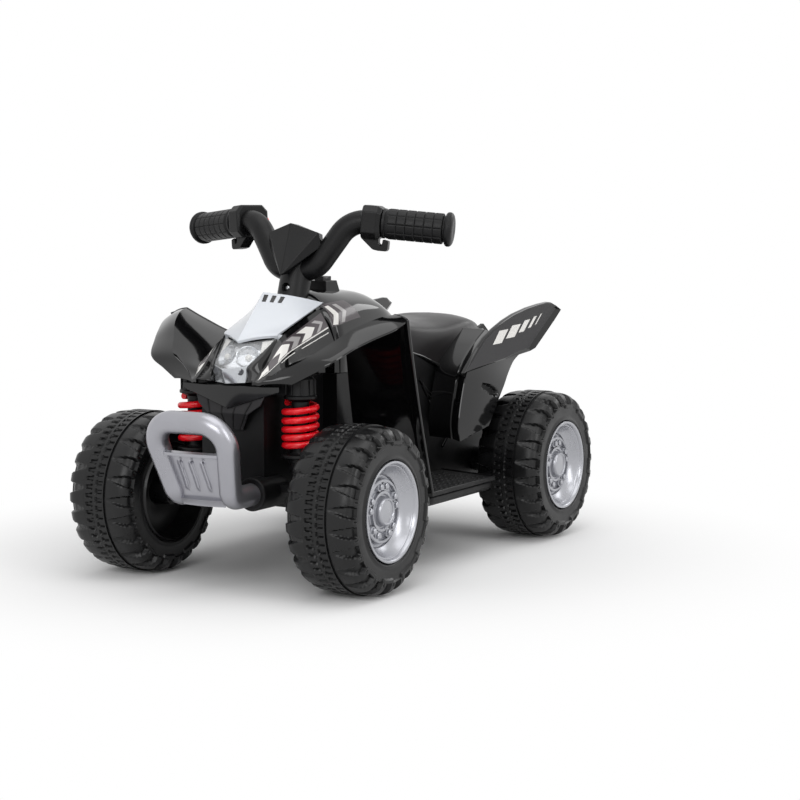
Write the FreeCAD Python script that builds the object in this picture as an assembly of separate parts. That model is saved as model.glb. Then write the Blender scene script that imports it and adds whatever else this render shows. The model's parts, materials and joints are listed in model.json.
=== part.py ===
import FreeCAD, Part
import math
import os

# Toddler's electric quad bike, in millimetres.
# It is laid out from the front axle: X to the rider's left, Y to the rear, Z up.
# Saving moves it, so that the origin is at the middle of its length, on the floor.

V = FreeCAD.Vector

# Whole vehicle
wheelbase = 423.0
track = 281.6
front_reach = 122.0
rear_overhang = 106.0
fit_gap = 0.05
seat_gap = 0.3
overrun = 6.0

# Wheels: hollow moulded tyre with a web and hub, silver rim, hub cap
wheel_radius = 90.0
wheel_width = 84.0
tread_width = 58.0
shoulder_radius = 77.0
shoulder_round = 7.0
tread_groove_width = 5.0
tread_groove_depth = 2.0
lug_count = 16
lug_notch_radius = 6.5
lug_small_radius = 4.0
lug_notch_depth = 4.0
tyre_wall = 4.5
tyre_inner_radius = 52.0
tyre_web_place = 16.0
tyre_web = 6.0
hub_radius = 14.0
hub_inner_reach = 40.0
hub_outer_reach = 4.0
axle_radius = 5.0
rim_radius = 53.6
rim_setback = 0.5
rim_wall = 3.0
rim_lip = 6.0
rim_dish_radius = 37.0
rim_dish_depth = 24.0
rim_boss_radius = 16.0
rim_boss_height = 3.0
rim_pocket_radius = 11.0
lug_bolt_pairs = 5
lug_bolt_radius = 3.0
lug_bolt_height = 3.0
lug_bolt_circle = 27.0
lug_bolt_spread_deg = 11.0
nut_height = 8.0
nut_radius = 7.5
hub_cap_radius = 14.5
hub_cap_height = 6.5
hub_cap_wall = 2.0
hub_cap_spigot = 3.5

# Chassis tray: narrow front box, wide tub behind it
tray_wall = 4.0
front_box_share = 0.14205
front_box_y = -28.0
front_box_rear_y = 90.0
front_box_floor_z = 5.0
deck_z = 132.0
tub_half = 58.0
tub_rear_run = 32.0
tub_floor_z = -28.0
tub_toe_run = 30.0
tub_toe_rise = 18.0
nose_notch_y = -15.0
nose_notch_drop = 1.5
seat_front_share = 0.5816
seat_front_z = 148.0
seat_low_share = 0.7801
seat_low_z = 119.0
seat_back_share = 0.9456
seat_back_z = 157.0
seat_end_share = 1.0449
seat_end_z = 169.0
tail_top_z = 160.0
beam_half_depth = 13.0
beam_thickness = 8.0
beam_low_z = 13.0
socket_radius = 17.5
socket_length = 16.0
socket_rear_y = 5.0
axle_tube_radius = 15.0
axle_tube_end_gap = 0.3
steering_slot_y = 48.0
steering_slot_rear_y = 83.0
steering_slot_low_z = 22.0
steering_slot_height = 19.0

# Foot boards
board_inner_gap = 3.0
board_outer_x = 150.0
board_front_y = 136.0
board_wheel_gap = 30.0
board_top_z = -1.0
board_thickness = 15.0
board_wall = 4.0
board_groove_count = 5
board_groove_width = 4.0
board_groove_depth = 1.5
board_groove_margin = 16.0

# Front cowl and tank
cowl_front_y = -8.0
cowl_shoulder_y = 102.0
cowl_seat_gap = 0.5
cowl_half = 57.5
cowl_top_z = 224.0
cowl_wall = 4.0
# Each row: place along the nose or the tank, half width below, height of that edge,
# half width above, its height, crown
cowl_nose_shares = (
    (0.000, 0.52, 0.141, 0.500, 0.261, 0.337),
    (0.366, 0.59, 0.250, 0.574, 0.500, 0.880),
    (0.864, 0.61, 0.435, 0.590, 0.717, 0.978),
)
cowl_tank_shares = (
    (0.000, 1.00, 0.435, 0.730, 0.783, 1.000),
    (0.345, 1.00, 0.478, 0.780, 0.815, 0.978),
    (0.733, 1.00, 0.391, 0.780, 0.761, 0.935),
    (1.000, 0.90, 0.261, 0.700, 0.598, 0.717),
)

# Front fenders with leg shields
fender_inner_x = 36.5
fender_outer_x = 154.0
fender_tip_y = -46.0
fender_rear_y = 90.0
fender_low_z = 132.0
fender_top_z = 202.0
fender_wall = 4.0
# Each row: run at the inner and outer edge, rise of the inner edge,
# then reach and rise of the valley, of the crease and of the outer edge
fender_row_shares = (
    (0.015, 0.131, 0.000, 0.170, 0.000, 0.310, 0.014, 0.332, 0.021),
    (0.200, 0.218, 0.243, 0.200, 0.157, 0.420, 0.304, 0.670, 0.339),
    (0.375, 0.393, 0.486, 0.234, 0.271, 0.560, 0.567, 0.785, 0.517),
    (0.570, 0.555, 0.686, 0.264, 0.436, 0.690, 0.833, 0.880, 0.679),
    (0.800, 0.750, 0.843, 0.294, 0.600, 0.800, 0.971, 0.983, 0.814),
    (0.985, 0.917, 0.971, 0.320, 0.743, 0.864, 1.000, 1.000, 0.943),
)
shield_outer_x = 150.0
shield_foot_y = 137.0

# Nose panel
nose_apex_y = -17.0
nose_apex_z = 174.0
nose_ridge_y = 32.0
nose_ridge_z = 223.5
nose_side_x = 35.6
nose_side_y = 9.0
nose_side_z = 177.0
nose_arm_x = 38.5
nose_arm_y = 87.5
nose_arm_z = 210.0
nose_drop = 4.0

# Headlight
lens_fold_y = -48.0
lens_fold_z = 145.0
lens_chin_y = -41.0
lens_chin_z = 129.0
lens_top_y = -15.0
lens_side_x = 32.0
lens_side_top_y = 4.0
lens_side_top_z = 171.0
lens_side_mid_y = -34.0
lens_side_mid_z = 153.0
lens_side_low_y = -42.0
lens_side_low_z = 132.5
lens_wall = 3.5
reflector_side_x = 28.0
reflector_top_z = 159.0
reflector_gap = 0.9
bowl_radius = 14.0
bowl_x = 14.5
bowl_y = -39.0
bowl_z = 148.0
lamp_radius = 4.0
lamp_length = 12.0
lamp_proud = 4.0

# Chin band and grille plate
band_half = 62.0
band_top_z = 127.5
band_side_z = 121.0
band_point_z = 102.0
band_thickness = 4.0
band_beak = 11.0
band_beak_drop = 0.5
grille_top_half = 46.0
grille_fold_half = 27.0
grille_low_half = 16.0
grille_fold_z = 97.5
grille_low_z = 79.0
grille_thickness = 4.0
grille_fold_reach = 10.5
grille_rib_count = 4
grille_rib = 3.0

# Front bumper
bumper_tube_radius = 12.0
bumper_foot_x = 34.0
bumper_foot_y = -81.0
bumper_foot_z = 13.0
bumper_corner_x = 49.0
bumper_corner_z = 94.0
bumper_foot_bend = 14.0
bumper_corner_bend = 24.0
bumper_plate_top_z = 60.0
bumper_plate_low_z = 5.0
bumper_plate_thickness = 6.0
bumper_lip_reach = 5.0
bumper_lip_height = 5.0

# Shock bodies and springs
shock_share = 0.4762
shock_post_share = 0.2041
shock_low_z = 34.0
shock_seat_share = 0.3571
shock_seat_low_z = 50.0
shock_seat_thickness = 4.0
shock_body_share = 0.1871
shock_tower_share = 0.3061
shock_tower_z = 113.0
shock_tower_top_z = 137.0
shock_bracket_half = 14.0
shock_bracket_low_z = 116.0
shock_bracket_top_z = 130.0
spring_share = 0.2857
spring_wire_radius = 3.6
spring_turns = 5.5
spring_arcs_per_turn = 4
spring_tight_share = 0.16
spring_end_gap = 1.0

# Steering knuckles, tie rod, column
steering_limit_deg = 32.0
kingpin_radius = 5.0
kingpin_top_z = 60.0
knuckle_hub_radius = 11.0
knuckle_hub_low_z = -10.0
knuckle_collar_radius = 10.0
arm_length = 65.0
arm_half_width = 7.0
arm_top_z = 29.0
arm_thickness = 5.0
pin_radius = 4.0
pin_head_reach = 2.0
tie_rod_thickness = 5.0
tie_rod_overhang = 14.0
tie_rod_half_width = 8.0
tie_eye_half_length = 13.0
tie_eye_half_width = 10.0
tie_slot_side_gap = 0.9
tie_slot_half_run = 5.5
column_y = 91.5
column_z = 218.0
column_rake_deg = 18.0
column_radius = 6.0
column_foot_z = 1.0
crank_z = 35.0
crank_length = 35.0
crank_half_width = 7.0
crank_thickness = 5.0
crank_pin_length = 16.0
bush_radius = 10.0
bush_low_z = 3.0
bush_length = 10.0
bush_boss_wall = 3.0
upper_bush_radius = 20.0
upper_bush_z = 174.0
upper_bush_length = 12.0
upper_boss_wall = 4.0

# Handlebar
bar_radius = 13.0
bar_low_x = 24.0
bar_low_z = 246.0
bar_high_x = 62.0
bar_high_y = 114.0
bar_high_z = 301.0
bar_end_x = 170.0
bar_end_y = 154.0
bar_end_z = 290.5
bar_low_bend = 22.0
bar_high_bend = 24.0
sleeve_radius = 17.5
sleeve_low_z = 200.0
sleeve_top_z = 262.0
rod_top_z = 254.0
screw_z = 227.0
screw_turn_deg = -90.0
screw_head_radius = 4.0
screw_head_height = 3.0
screw_shank_radius = 2.0
screw_length = 10.0
cover_low_y = 66.0
cover_low_z = 240.0
cover_top_y = 86.0
cover_top_z = 298.0
cover_side_x = 34.0
cover_side_y = 92.0
cover_side_low_z = 262.0
cover_side_top_z = 286.0
cover_thickness = 9.0
block_start = 14.0
block_length = 22.0
block_front = 18.0
block_rear = 26.0
block_half_height = 18.5
block_chamfer = 8.0
hook_drop = 12.0
hook_reach = 9.0
hook_thickness = 7.0
hook_width = 14.0
grip_radius = 17.0
grip_flange_radius = 20.5
grip_flange_length = 8.0
grip_end_wall = 4.0
button_radius = 6.0
button_length = 11.0
button_travel = 3.5
button_side_gap = 0.1

# Switch pod on the tank
pod_y = 154.0
pod_half_width = 15.0
pod_half_run = 16.0
pod_low_z = 208.0
pod_top_z = 232.0
rocker_half_width = 6.0
rocker_half_run = 9.0
rocker_depth = 4.0
rocker_crown = 5.0
rocker_gap = 1.2
rocker_pin_radius = 1.2
rocker_pin_reach = 3.0

# Seat: place along Y, half width, low edge, shoulder, crown
seat_rear_share = 1.0804
seat_half = 68.0
seat_wall = 5.0
seat_skirt_z = 110.0
seat_top_z = 186.0
seat_shoulder_share = 0.93
seat_hollow_drop_share = 5.0
seat_row_shares = (
    (0.005, 0.59, 0.440, 0.857, 1.000),
    (0.170, 0.79, 0.280, 0.738, 0.929),
    (0.420, 0.94, 0.095, 0.690, 0.905),
    (0.720, 1.00, 0.460, 0.775, 0.976),
    (0.920, 0.91, 0.660, 0.785, 0.970),
    (1.000, 0.79, 0.680, 0.740, 0.860),
)

# Rear fenders: side panel round the tyre, wing above it
panel_x = 114.0
panel_inner_x = 72.0
panel_wall = 4.0
panel_front_share = 0.6525
panel_rear_run = 3.0
panel_low_z = 38.0
panel_top_z = 166.0
panel_cut_z = 110.0
arch_bearings_deg = (148.5, 120.0, 95.9)
arch_low_gap = 13.2
arch_mid_gap = 25.0
arch_high_gap = 36.7
# Outline from the low front corner round the wheel arch and back along the top
panel_low_share = (0.027, 0.000)
panel_high_shares = ((1.000, 0.740), (1.000, 0.870), (0.580, 1.000))
panel_front_shares = ((0.367, 0.859), (0.160, 0.672), (0.067, 0.445), (0.007, 0.172))
wing_front_share = 0.6738
wing_low_z = 119.0
wing_top_z = 196.0
wing_front_x = 115.0
wing_tip_x = 125.0
wing_thickness = 12.0
wing_shares = ((0.000, 0.000), (0.200, 0.527), (0.490, 0.857), (0.855, 1.000), (1.000, 0.857), (0.653, 0.215))

# Drive: battery, motor, gearbox and gears
battery_half_width = 35.0
battery_share = 0.4255
battery_run = 48.0
battery_height = 101.0
clamp_thickness = 4.0
clamp_run = 20.0
gear_module = 1.0
gear_root_share = 1.2
gear_tip_share = 0.8
gear_flank_shares = (-0.32, -0.11, 0.11, 0.32)
drive_teeth = 40
idler_small_teeth = 12
idler_large_teeth = 36
pinion_teeth = 10
gear_width = 8.0
drive_gear_x = 24.0
idler_bearing_deg = 170.0
motor_bearing_deg = 150.0
idler_pin_radius = 2.5
idler_step = 3.0
idler_large_width = 7.0
sleeve_wall = 4.0
case_wall = 2.5
case_x = 9.0
case_open_x = 40.0
case_front_run = 71.0
case_top_z = 38.0
motor_radius = 13.8
motor_length = 38.0
motor_shaft_radius = 1.6
charge_share = 0.5319
charge_z = 60.0
charge_radius = 6.0
charge_flange_radius = 9.0
charge_flange = 2.0
charge_length = 14.0
charge_bore_radius = 2.8
belly_screw_rows = 4
belly_screw_x = 42.0
belly_screw_first_share = 0.3191
belly_screw_step_share = 0.2009
belly_head_radius = 4.0
belly_head_height = 2.0
belly_shank_radius = 2.0

# Places worked out from the sizes above
front_axle_y = (front_reach - wheelbase - rear_overhang) / 2
rear_axle = V(0, wheelbase, 0)
half_width = wheel_width / 2
hub_seat = hub_outer_reach + rim_wall
stub_end = hub_seat + seat_gap + nut_height
rake = math.radians(column_rake_deg)
column_axis = V(0, math.sin(rake), math.cos(rake))
crank_way = V(0, math.cos(rake), -math.sin(rake))
tie_low_z = arm_top_z + seat_gap
tie_top_z = tie_low_z + tie_rod_thickness
bumper_front_y = bumper_tube_radius - front_reach
socket_front_y = front_box_y - socket_length
tray_floor_z = tub_floor_z + tray_wall
tub_rear_y = wheelbase + tub_rear_run
seat_front_y = wheelbase * seat_front_share
seat_low_y = wheelbase * seat_low_share
seat_back_y = wheelbase * seat_back_share
seat_end_y = wheelbase * seat_end_share
seat_rear_y = wheelbase * seat_rear_share
cowl_rear_y = seat_front_y - cowl_seat_gap
board_inner_rear_y = wheelbase - wheel_radius - board_inner_gap
board_rear_y = wheelbase - wheel_radius - board_wheel_gap
panel_front_y = wheelbase * panel_front_share
panel_rear_y = wheelbase + panel_rear_run
wing_front_y = wheelbase * wing_front_share
battery_y = wheelbase * battery_share
case_front_y = wheelbase - case_front_run
charge_y = wheelbase * charge_share
front_box_half = track * front_box_share
shock_room = track / 2 - half_width - front_box_half
shock_x = front_box_half + shock_room * shock_share
shock_post_radius = shock_room * shock_post_share
shock_seat_radius = shock_room * shock_seat_share
shock_body_radius = shock_room * shock_body_share
shock_tower_radius = shock_room * shock_tower_share
spring_radius = shock_room * spring_share
tie_rod_half_length = shock_x + tie_rod_overhang
case_rear_y = tub_rear_y - tray_wall - seat_gap


def spread(low, high, share):
    return low + (high - low) * share


def box(x0, x1, y0, y1, z0, z1):
    return Part.makeBox(x1 - x0, y1 - y0, z1 - z0, V(x0, y0, z0))


def rod(start, end, radius):
    way = end - start
    return Part.makeCylinder(radius, way.Length, start, way)


def polygon(points):
    return Part.makePolygon(points + points[:1])


def side_prism(outline, x0, x1):
    """Extrude an outline of (y, z) points from x0 to x1."""
    return Part.Face(polygon([V(x0, y, z) for y, z in outline])).extrude(V(x1 - x0, 0, 0))


def plan_prism(outline, z0, z1):
    """Extrude an outline of (x, y) points from z0 to z1."""
    return Part.Face(polygon([V(x, y, z0) for x, y in outline])).extrude(V(0, 0, z1 - z0))


def front_prism(outline, y0, y1):
    """Extrude an outline of (x, z) points from y0 to y1."""
    return Part.Face(polygon([V(x, y0, z) for x, z in outline])).extrude(V(0, y1 - y0, 0))


def ruled(sections):
    return Part.makeLoft([polygon(section) for section in sections], True, True)


def turned(outline):
    """Turn an outline of (x, radius) points about the X axis."""
    face = Part.Face(polygon([V(x, 0, r) for x, r in outline]))
    return face.revolve(V(0, 0, 0), V(1, 0, 0), 360)


def mirrored(shape):
    return shape.mirror(V(0, 0, 0), V(1, 0, 0))


def flipped(point):
    return V(-point.x, point.y, point.z)


def on_side(shape, side):
    return shape.copy() if side > 0 else mirrored(shape)


def both_sides(shape):
    return shape.fuse(mirrored(shape)).removeSplitter()


def arc_from(start, tangent, end):
    """Circular edge that leaves start along tangent and reaches end."""
    chord = end - start
    across = chord - tangent * chord.dot(tangent)
    across.normalize()
    radius = chord.dot(chord) / (2 * chord.dot(across))
    centre = start + across * radius
    out = (start + end) * 0.5 - centre
    out.normalize()
    return Part.Arc(start, centre + out * radius, end).toShape()


def biarc(start, tangent, end, end_tangent):
    """Two circular edges that meet smoothly, between two points with given directions."""
    way = end - start
    both = tangent + end_tangent
    bend = 2 * (1 - tangent.dot(end_tangent))
    along = way.dot(both)
    reach = (math.sqrt(along * along + bend * way.dot(way)) - along) / bend
    first = start + tangent * reach
    second = end - end_tangent * reach
    middle = (first + second) * 0.5
    middle_tangent = second - first
    middle_tangent.normalize()
    return [arc_from(start, tangent, middle), arc_from(middle, middle_tangent, end)]


def pipe(edges, start, tangent, radius):
    path = Part.Wire(edges)
    ring = Part.Wire(Part.makeCircle(radius, start, tangent))
    sweep = Part.BRepOffsetAPI.MakePipeShell(path)
    sweep.add(ring)
    sweep.build()
    sweep.makeSolid()
    return sweep.shape()


def bent_tube(points, bends, radius):
    """Tube through the points, with each corner rounded by its bend radius."""
    edges = []
    last = points[0]
    for before, corner, after, bend in zip(points, points[1:], points[2:], bends):
        come = corner - before
        leave = after - corner
        come.normalize()
        leave.normalize()
        cut = bend * math.tan(come.getAngle(leave) / 2)
        first = corner - come * cut
        second = corner + leave * cut
        edges.append(Part.LineSegment(last, first).toShape())
        edges.append(arc_from(first, come, second))
        last = second
    edges.append(Part.LineSegment(last, points[-1]).toShape())
    first_way = points[1] - points[0]
    return pipe(edges, points[0], first_way, radius)


def hexagon_prism(radius, x0, x1):
    corners = []
    for i in range(6):
        angle = math.radians(60 * i)
        corners.append((radius * math.cos(angle), radius * math.sin(angle)))
    return side_prism(corners, x0, x1)


def column_at(z):
    """Point of the steering axis at a height."""
    return V(0, column_y + (z - column_z) * math.tan(rake), z)


def save(name, shape):
    placed = shape.copy()
    placed.translate(V(0, front_axle_y, wheel_radius))
    placed.exportStep("parts/" + name + ".step")


def at_wheel(shape, side, y):
    placed = on_side(shape, side)
    placed.translate(V(side * track / 2, y, 0))
    return placed


def wheel_places():
    return (("front_left", 1, 0), ("front_right", -1, 0),
            ("rear_left", 1, wheelbase), ("rear_right", -1, wheelbase))


# Wheels
def tyre():
    bore = axle_radius + fit_gap
    seat = rim_radius + seat_gap
    tread = tread_width / 2
    groove = tread_groove_width / 2
    floor = wheel_radius - tread_groove_depth
    web_back = -tyre_web_place
    web_front = web_back + tyre_web
    shoulder = (half_width - shoulder_round, wheel_radius - shoulder_round / 2)
    outer = [(half_width, seat), (half_width, shoulder_radius), shoulder, (tread, wheel_radius),
             (groove, wheel_radius), (groove, floor)]
    outer += [(-x, r) for x, r in reversed(outer[1:])]
    hub = [
        (-half_width, tyre_inner_radius), (web_back, tyre_inner_radius - tyre_web), (web_back, hub_radius),
        (-hub_inner_reach, hub_radius), (-hub_inner_reach, bore), (hub_outer_reach, bore),
        (hub_outer_reach, hub_radius), (web_front, hub_radius), (web_front, tyre_inner_radius - tyre_web / 2)]
    inside = half_width - tyre_wall
    hollow = [
        (inside, seat), (inside, shoulder_radius - tyre_wall / 2),
        (shoulder[0] - tyre_wall, shoulder[1] - tyre_wall), (tread - tyre_wall, wheel_radius - tyre_wall)]
    hollow = [(-x, r) for x, r in hollow] + hollow[::-1]
    hollow[0] = (-inside, tyre_inner_radius + tyre_wall)
    body = turned(outer + hub + hollow)
    way = V(1, 0, 1)
    way.normalize()
    notches = []
    for side in (1, -1):
        start = V(half_width - lug_notch_depth, 0, shoulder_radius)
        for i in range(lug_count):
            large = (i % 2 == 0) == (side > 0)
            radius = lug_notch_radius if large else lug_small_radius
            notch = on_side(Part.makeCylinder(radius, wheel_width, start, way), side)
            notch.rotate(V(0, 0, 0), V(1, 0, 0), 360 * i / lug_count)
            notches.append(notch)
    return body.cut(notches)


def rim():
    face = half_width - rim_setback
    dish = face - rim_dish_depth
    back = dish - rim_wall
    body = turned([
        (hub_outer_reach, axle_radius + fit_gap), (hub_seat, axle_radius + fit_gap),
        (hub_seat, rim_pocket_radius), (dish + rim_boss_height, rim_pocket_radius),
        (dish + rim_boss_height, rim_boss_radius), (dish, rim_boss_radius), (dish, rim_dish_radius),
        (face - rim_wall, rim_radius - rim_lip - rim_wall / 2), (face, rim_radius - rim_lip + rim_wall / 2),
        (face, rim_radius), (face - rim_lip, rim_radius), (face - rim_lip, rim_radius - rim_wall),
        (back, rim_dish_radius + rim_wall), (back, hub_radius), (hub_outer_reach, hub_radius)])
    bolts = []
    for i in range(lug_bolt_pairs):
        for spread_deg in (-lug_bolt_spread_deg, lug_bolt_spread_deg):
            bolt = Part.makeCylinder(lug_bolt_radius, lug_bolt_height + rim_wall / 2,
                                     V(dish - rim_wall / 2, 0, lug_bolt_circle), V(1, 0, 0))
            bolt.rotate(V(0, 0, 0), V(1, 0, 0), 360 * i / lug_bolt_pairs + spread_deg)
            bolts.append(bolt)
    return body.fuse(bolts)


def hub_cap():
    seat = half_width - rim_setback - rim_dish_depth + rim_boss_height
    spigot = rim_pocket_radius - fit_gap
    top = seat + hub_cap_height
    return turned([
        (seat - hub_cap_spigot, spigot - hub_cap_wall), (seat + hub_cap_wall, spigot - hub_cap_wall),
        (top - hub_cap_wall, 0), (top, 0), (top - hub_cap_wall / 2, hub_cap_radius / 2),
        (seat + hub_cap_height / 2, hub_cap_radius - hub_cap_wall / 2), (seat, hub_cap_radius),
        (seat, spigot), (seat - hub_cap_spigot, spigot)])


def axle_nut():
    start = hub_seat + seat_gap
    hole = rod(V(start - overrun, 0, 0), V(stub_end + overrun, 0, 0), axle_radius + fit_gap)
    return hexagon_prism(nut_radius, start, stub_end).cut(hole)


def build_wheels():
    pieces = {"tyre": tyre(), "rim": rim(), "hub_cap": hub_cap()}
    for place, side, y in wheel_places():
        for name, shape in pieces.items():
            save(name + "_" + place, at_wheel(shape, side, y))
    nut = axle_nut()
    save("axle_nut_front_left", at_wheel(nut, 1, 0))
    save("axle_nut_front_right", at_wheel(nut, -1, 0))
    rear = [at_wheel(nut, side, wheelbase) for side in (1, -1)]
    save("axle_nuts_rear", Part.makeCompound(rear))
    end = V(track / 2 + stub_end, 0, 0)
    save("rear_axle", rod(rear_axle - end, rear_axle + end, axle_radius))


# Chassis tray
def tub_outline():
    return [
        (front_box_rear_y, tub_floor_z + tub_toe_rise), (front_box_rear_y + tub_toe_run, tub_floor_z),
        (tub_rear_y, tub_floor_z), (tub_rear_y, tail_top_z), (seat_end_y, seat_end_z),
        (seat_back_y, seat_back_z), (seat_low_y, seat_low_z), (seat_front_y, seat_front_z),
        (seat_front_y, deck_z), (front_box_rear_y, deck_z)]


def tub_hollow():
    top = cowl_top_z
    front = front_box_rear_y + tray_wall
    rear = tub_rear_y - tray_wall
    return side_prism([
        (front, tray_floor_z + tub_toe_rise), (front + tub_toe_run, tray_floor_z),
        (rear, tray_floor_z), (rear, top), (front, top)], tray_wall - tub_half, tub_half - tray_wall)


def belly_screws():
    """Screws of the tray's floor, with their heads sunk flush into it."""
    screws = []
    for i in range(belly_screw_rows):
        y = wheelbase * (belly_screw_first_share + i * belly_screw_step_share)
        for x in (-belly_screw_x, belly_screw_x):
            head = rod(V(x, y, tub_floor_z), V(x, y, tub_floor_z + belly_head_height), belly_head_radius)
            shank = rod(V(x, y, tub_floor_z), V(x, y, tray_floor_z), belly_shank_radius)
            screws.append(head.fuse(shank))
    return screws


def charge_inlet():
    """Charging inlet in the right wall, over the foot board."""
    face = V(-tub_half, charge_y, charge_z)
    out = V(-1, 0, 0)
    flange = rod(face, face + out * charge_flange, charge_flange_radius)
    body = rod(face + out * charge_flange, face - out * (charge_length - charge_flange), charge_radius)
    bore = rod(face + out * overrun, face - out * tray_wall, charge_bore_radius)
    return flange.fuse(body).cut(bore)


def chassis_tray():
    front_box = box(-front_box_half, front_box_half, front_box_y, front_box_rear_y + tray_wall,
                    front_box_floor_z, deck_z)
    tub = side_prism(tub_outline(), -tub_half, tub_half)
    inner_half = front_box_half - tray_wall
    box_hollow = box(-inner_half, inner_half, front_box_y + tray_wall, front_box_rear_y + tray_wall + overrun,
                     front_box_floor_z + tray_wall, cowl_top_z)
    shell = front_box.fuse(tub).cut([box_hollow, tub_hollow()])
    beam = box(-shock_x, shock_x, -beam_half_depth, beam_half_depth, beam_low_z, beam_low_z + beam_thickness)
    added = [beam]
    removed = []
    for side in (1, -1):
        x = side * shock_x
        low = V(x, 0, beam_low_z)
        added.append(rod(low, low + V(0, 0, beam_thickness), beam_half_depth))
        removed.append(rod(low - V(0, 0, overrun), low + V(0, 0, beam_thickness + overrun),
                           kingpin_radius + fit_gap))
        foot = V(side * bumper_foot_x, 0, bumper_foot_z)
        socket_end = foot + V(0, socket_front_y, 0)
        added.append(rod(foot + V(0, socket_rear_y, 0), socket_end, socket_radius))
        removed.append(rod(foot + V(0, front_box_y, 0), socket_end - V(0, overrun, 0),
                           bumper_tube_radius + fit_gap))
        start = rear_axle + V(side * (tub_half - tray_wall), 0, 0)
        end = rear_axle + V(side * (track / 2 - hub_inner_reach - axle_tube_end_gap), 0, 0)
        added.append(rod(start, end, axle_tube_radius))
        bore = axle_radius if side < 0 else axle_radius + fit_gap + sleeve_wall
        removed.append(rod(start - V(side * overrun, 0, 0), end + V(side * overrun, 0, 0), bore + fit_gap))
    low_bush = column_at(bush_low_z)
    added.append(rod(low_bush, low_bush + column_axis * bush_length, bush_radius + bush_boss_wall))
    removed.append(rod(low_bush - column_axis * overrun, low_bush + column_axis * (bush_length + overrun),
                       bush_radius + fit_gap))
    removed.append(box(-tub_half, tub_half, steering_slot_y, steering_slot_rear_y,
                       steering_slot_low_z, steering_slot_low_z + steering_slot_height))
    removed.append(box(-tub_half, tub_half, front_box_y - overrun, nose_notch_y,
                       lens_chin_z - nose_notch_drop, deck_z + overrun))
    removed += belly_screws()
    inlet = V(-tub_half, charge_y, charge_z)
    removed.append(rod(inlet - V(overrun, 0, 0), inlet + V(tray_wall + overrun, 0, 0),
                       charge_radius + fit_gap))
    return shell.fuse(added).cut(removed).removeSplitter()


def foot_board():
    board = plan_prism([
        (tub_half, board_front_y), (board_outer_x, board_front_y),
        (board_outer_x, board_rear_y), (tub_half, board_inner_rear_y)],
        board_top_z - board_thickness, board_top_z)
    inner_x = tub_half + board_wall
    outer_x = board_outer_x - board_wall
    under = plan_prism([
        (inner_x, board_front_y + board_wall), (outer_x, board_front_y + board_wall),
        (outer_x, board_rear_y - board_wall), (inner_x, board_inner_rear_y - 2 * board_wall)],
        board_top_z - board_thickness - overrun, board_top_z - board_wall)
    grooves = [under]
    span = board_outer_x - tub_half - 2 * board_groove_margin
    for i in range(board_groove_count):
        x = tub_half + board_groove_margin + span * i / (board_groove_count - 1)
        grooves.append(box(x - board_groove_width / 2, x + board_groove_width / 2,
                           board_front_y + board_groove_margin, board_rear_y - board_groove_margin,
                           board_top_z - board_groove_depth, board_top_z + overrun))
    return board.cut(grooves)


def build_chassis():
    save("chassis_tray", chassis_tray())
    save("body_screws", Part.makeCompound(belly_screws()))
    save("charge_socket", charge_inlet())
    board = foot_board()
    save("foot_board_left", board)
    save("foot_board_right", mirrored(board))


# Front cowl
def cowl_rows(inset):
    rows = []
    nose = [(cowl_front_y + inset, cowl_shoulder_y, shares) for shares in cowl_nose_shares]
    tank = [(cowl_shoulder_y, cowl_rear_y - inset, shares) for shares in cowl_tank_shares]
    for start, end, (at, low_half, edge, high_half, shoulder, crown) in nose + tank:
        y = spread(start, end, at)
        a = cowl_half * low_half - inset
        b = cowl_half * high_half - inset
        low = deck_z - (overrun if inset else 0.0)
        heights = [spread(deck_z, cowl_top_z, share) - inset for share in (edge, shoulder, crown)]
        left = [V(a, y, low), V(a, y, heights[0]), V(b, y, heights[1])]
        rows.append(left + [V(0, y, heights[2])] + [flipped(p) for p in reversed(left)])
    return rows


def cowl_body():
    return ruled(cowl_rows(0.0))


def front_cowl():
    body = cowl_body()
    boss_low = column_at(upper_bush_z)
    boss_top = column_at(cowl_top_z + overrun)
    boss = rod(boss_low, boss_top, upper_bush_radius + upper_boss_wall).common(body)
    bore = rod(boss_low - column_axis * overrun, boss_top + column_axis * overrun,
               upper_bush_radius + fit_gap)
    return body.cut(ruled(cowl_rows(cowl_wall))).fuse(boss).cut(bore)


def switch_pod(body):
    pod = box(-pod_half_width, pod_half_width, pod_y - pod_half_run, pod_y + pod_half_run,
              pod_low_z, pod_top_z)
    top_edges = [edge for edge in pod.Edges if edge.BoundBox.ZMin > pod_low_z]
    pod = pod.makeFillet(pod_half_width - rocker_half_width - rocker_pin_reach - rocker_gap * 2, top_edges)
    recess = box(-rocker_half_width - rocker_gap, rocker_half_width + rocker_gap,
                 pod_y - rocker_half_run - rocker_gap, pod_y + rocker_half_run + rocker_gap,
                 pod_top_z - rocker_depth - rocker_gap * 2, pod_top_z + overrun)
    return pod.cut([body, recess, rocker_pin(fit_gap)])


def rocker_pin(gap):
    reach = rocker_half_width + rocker_gap + rocker_pin_reach + gap
    z = pod_top_z - rocker_depth / 2
    return rod(V(-reach, pod_y, z), V(reach, pod_y, z), rocker_pin_radius + gap)


def direction_switch():
    low = pod_top_z - rocker_depth
    outline = [
        (pod_y - rocker_half_run / 2, low), (pod_y + rocker_half_run / 2, low),
        (pod_y + rocker_half_run, pod_top_z), (pod_y + rocker_half_run, pod_top_z + rocker_crown),
        (pod_y, pod_top_z + rocker_crown / 2), (pod_y - rocker_half_run, pod_top_z + rocker_crown),
        (pod_y - rocker_half_run, pod_top_z)]
    return side_prism(outline, -rocker_half_width, rocker_half_width).fuse(rocker_pin(0.0))


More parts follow.
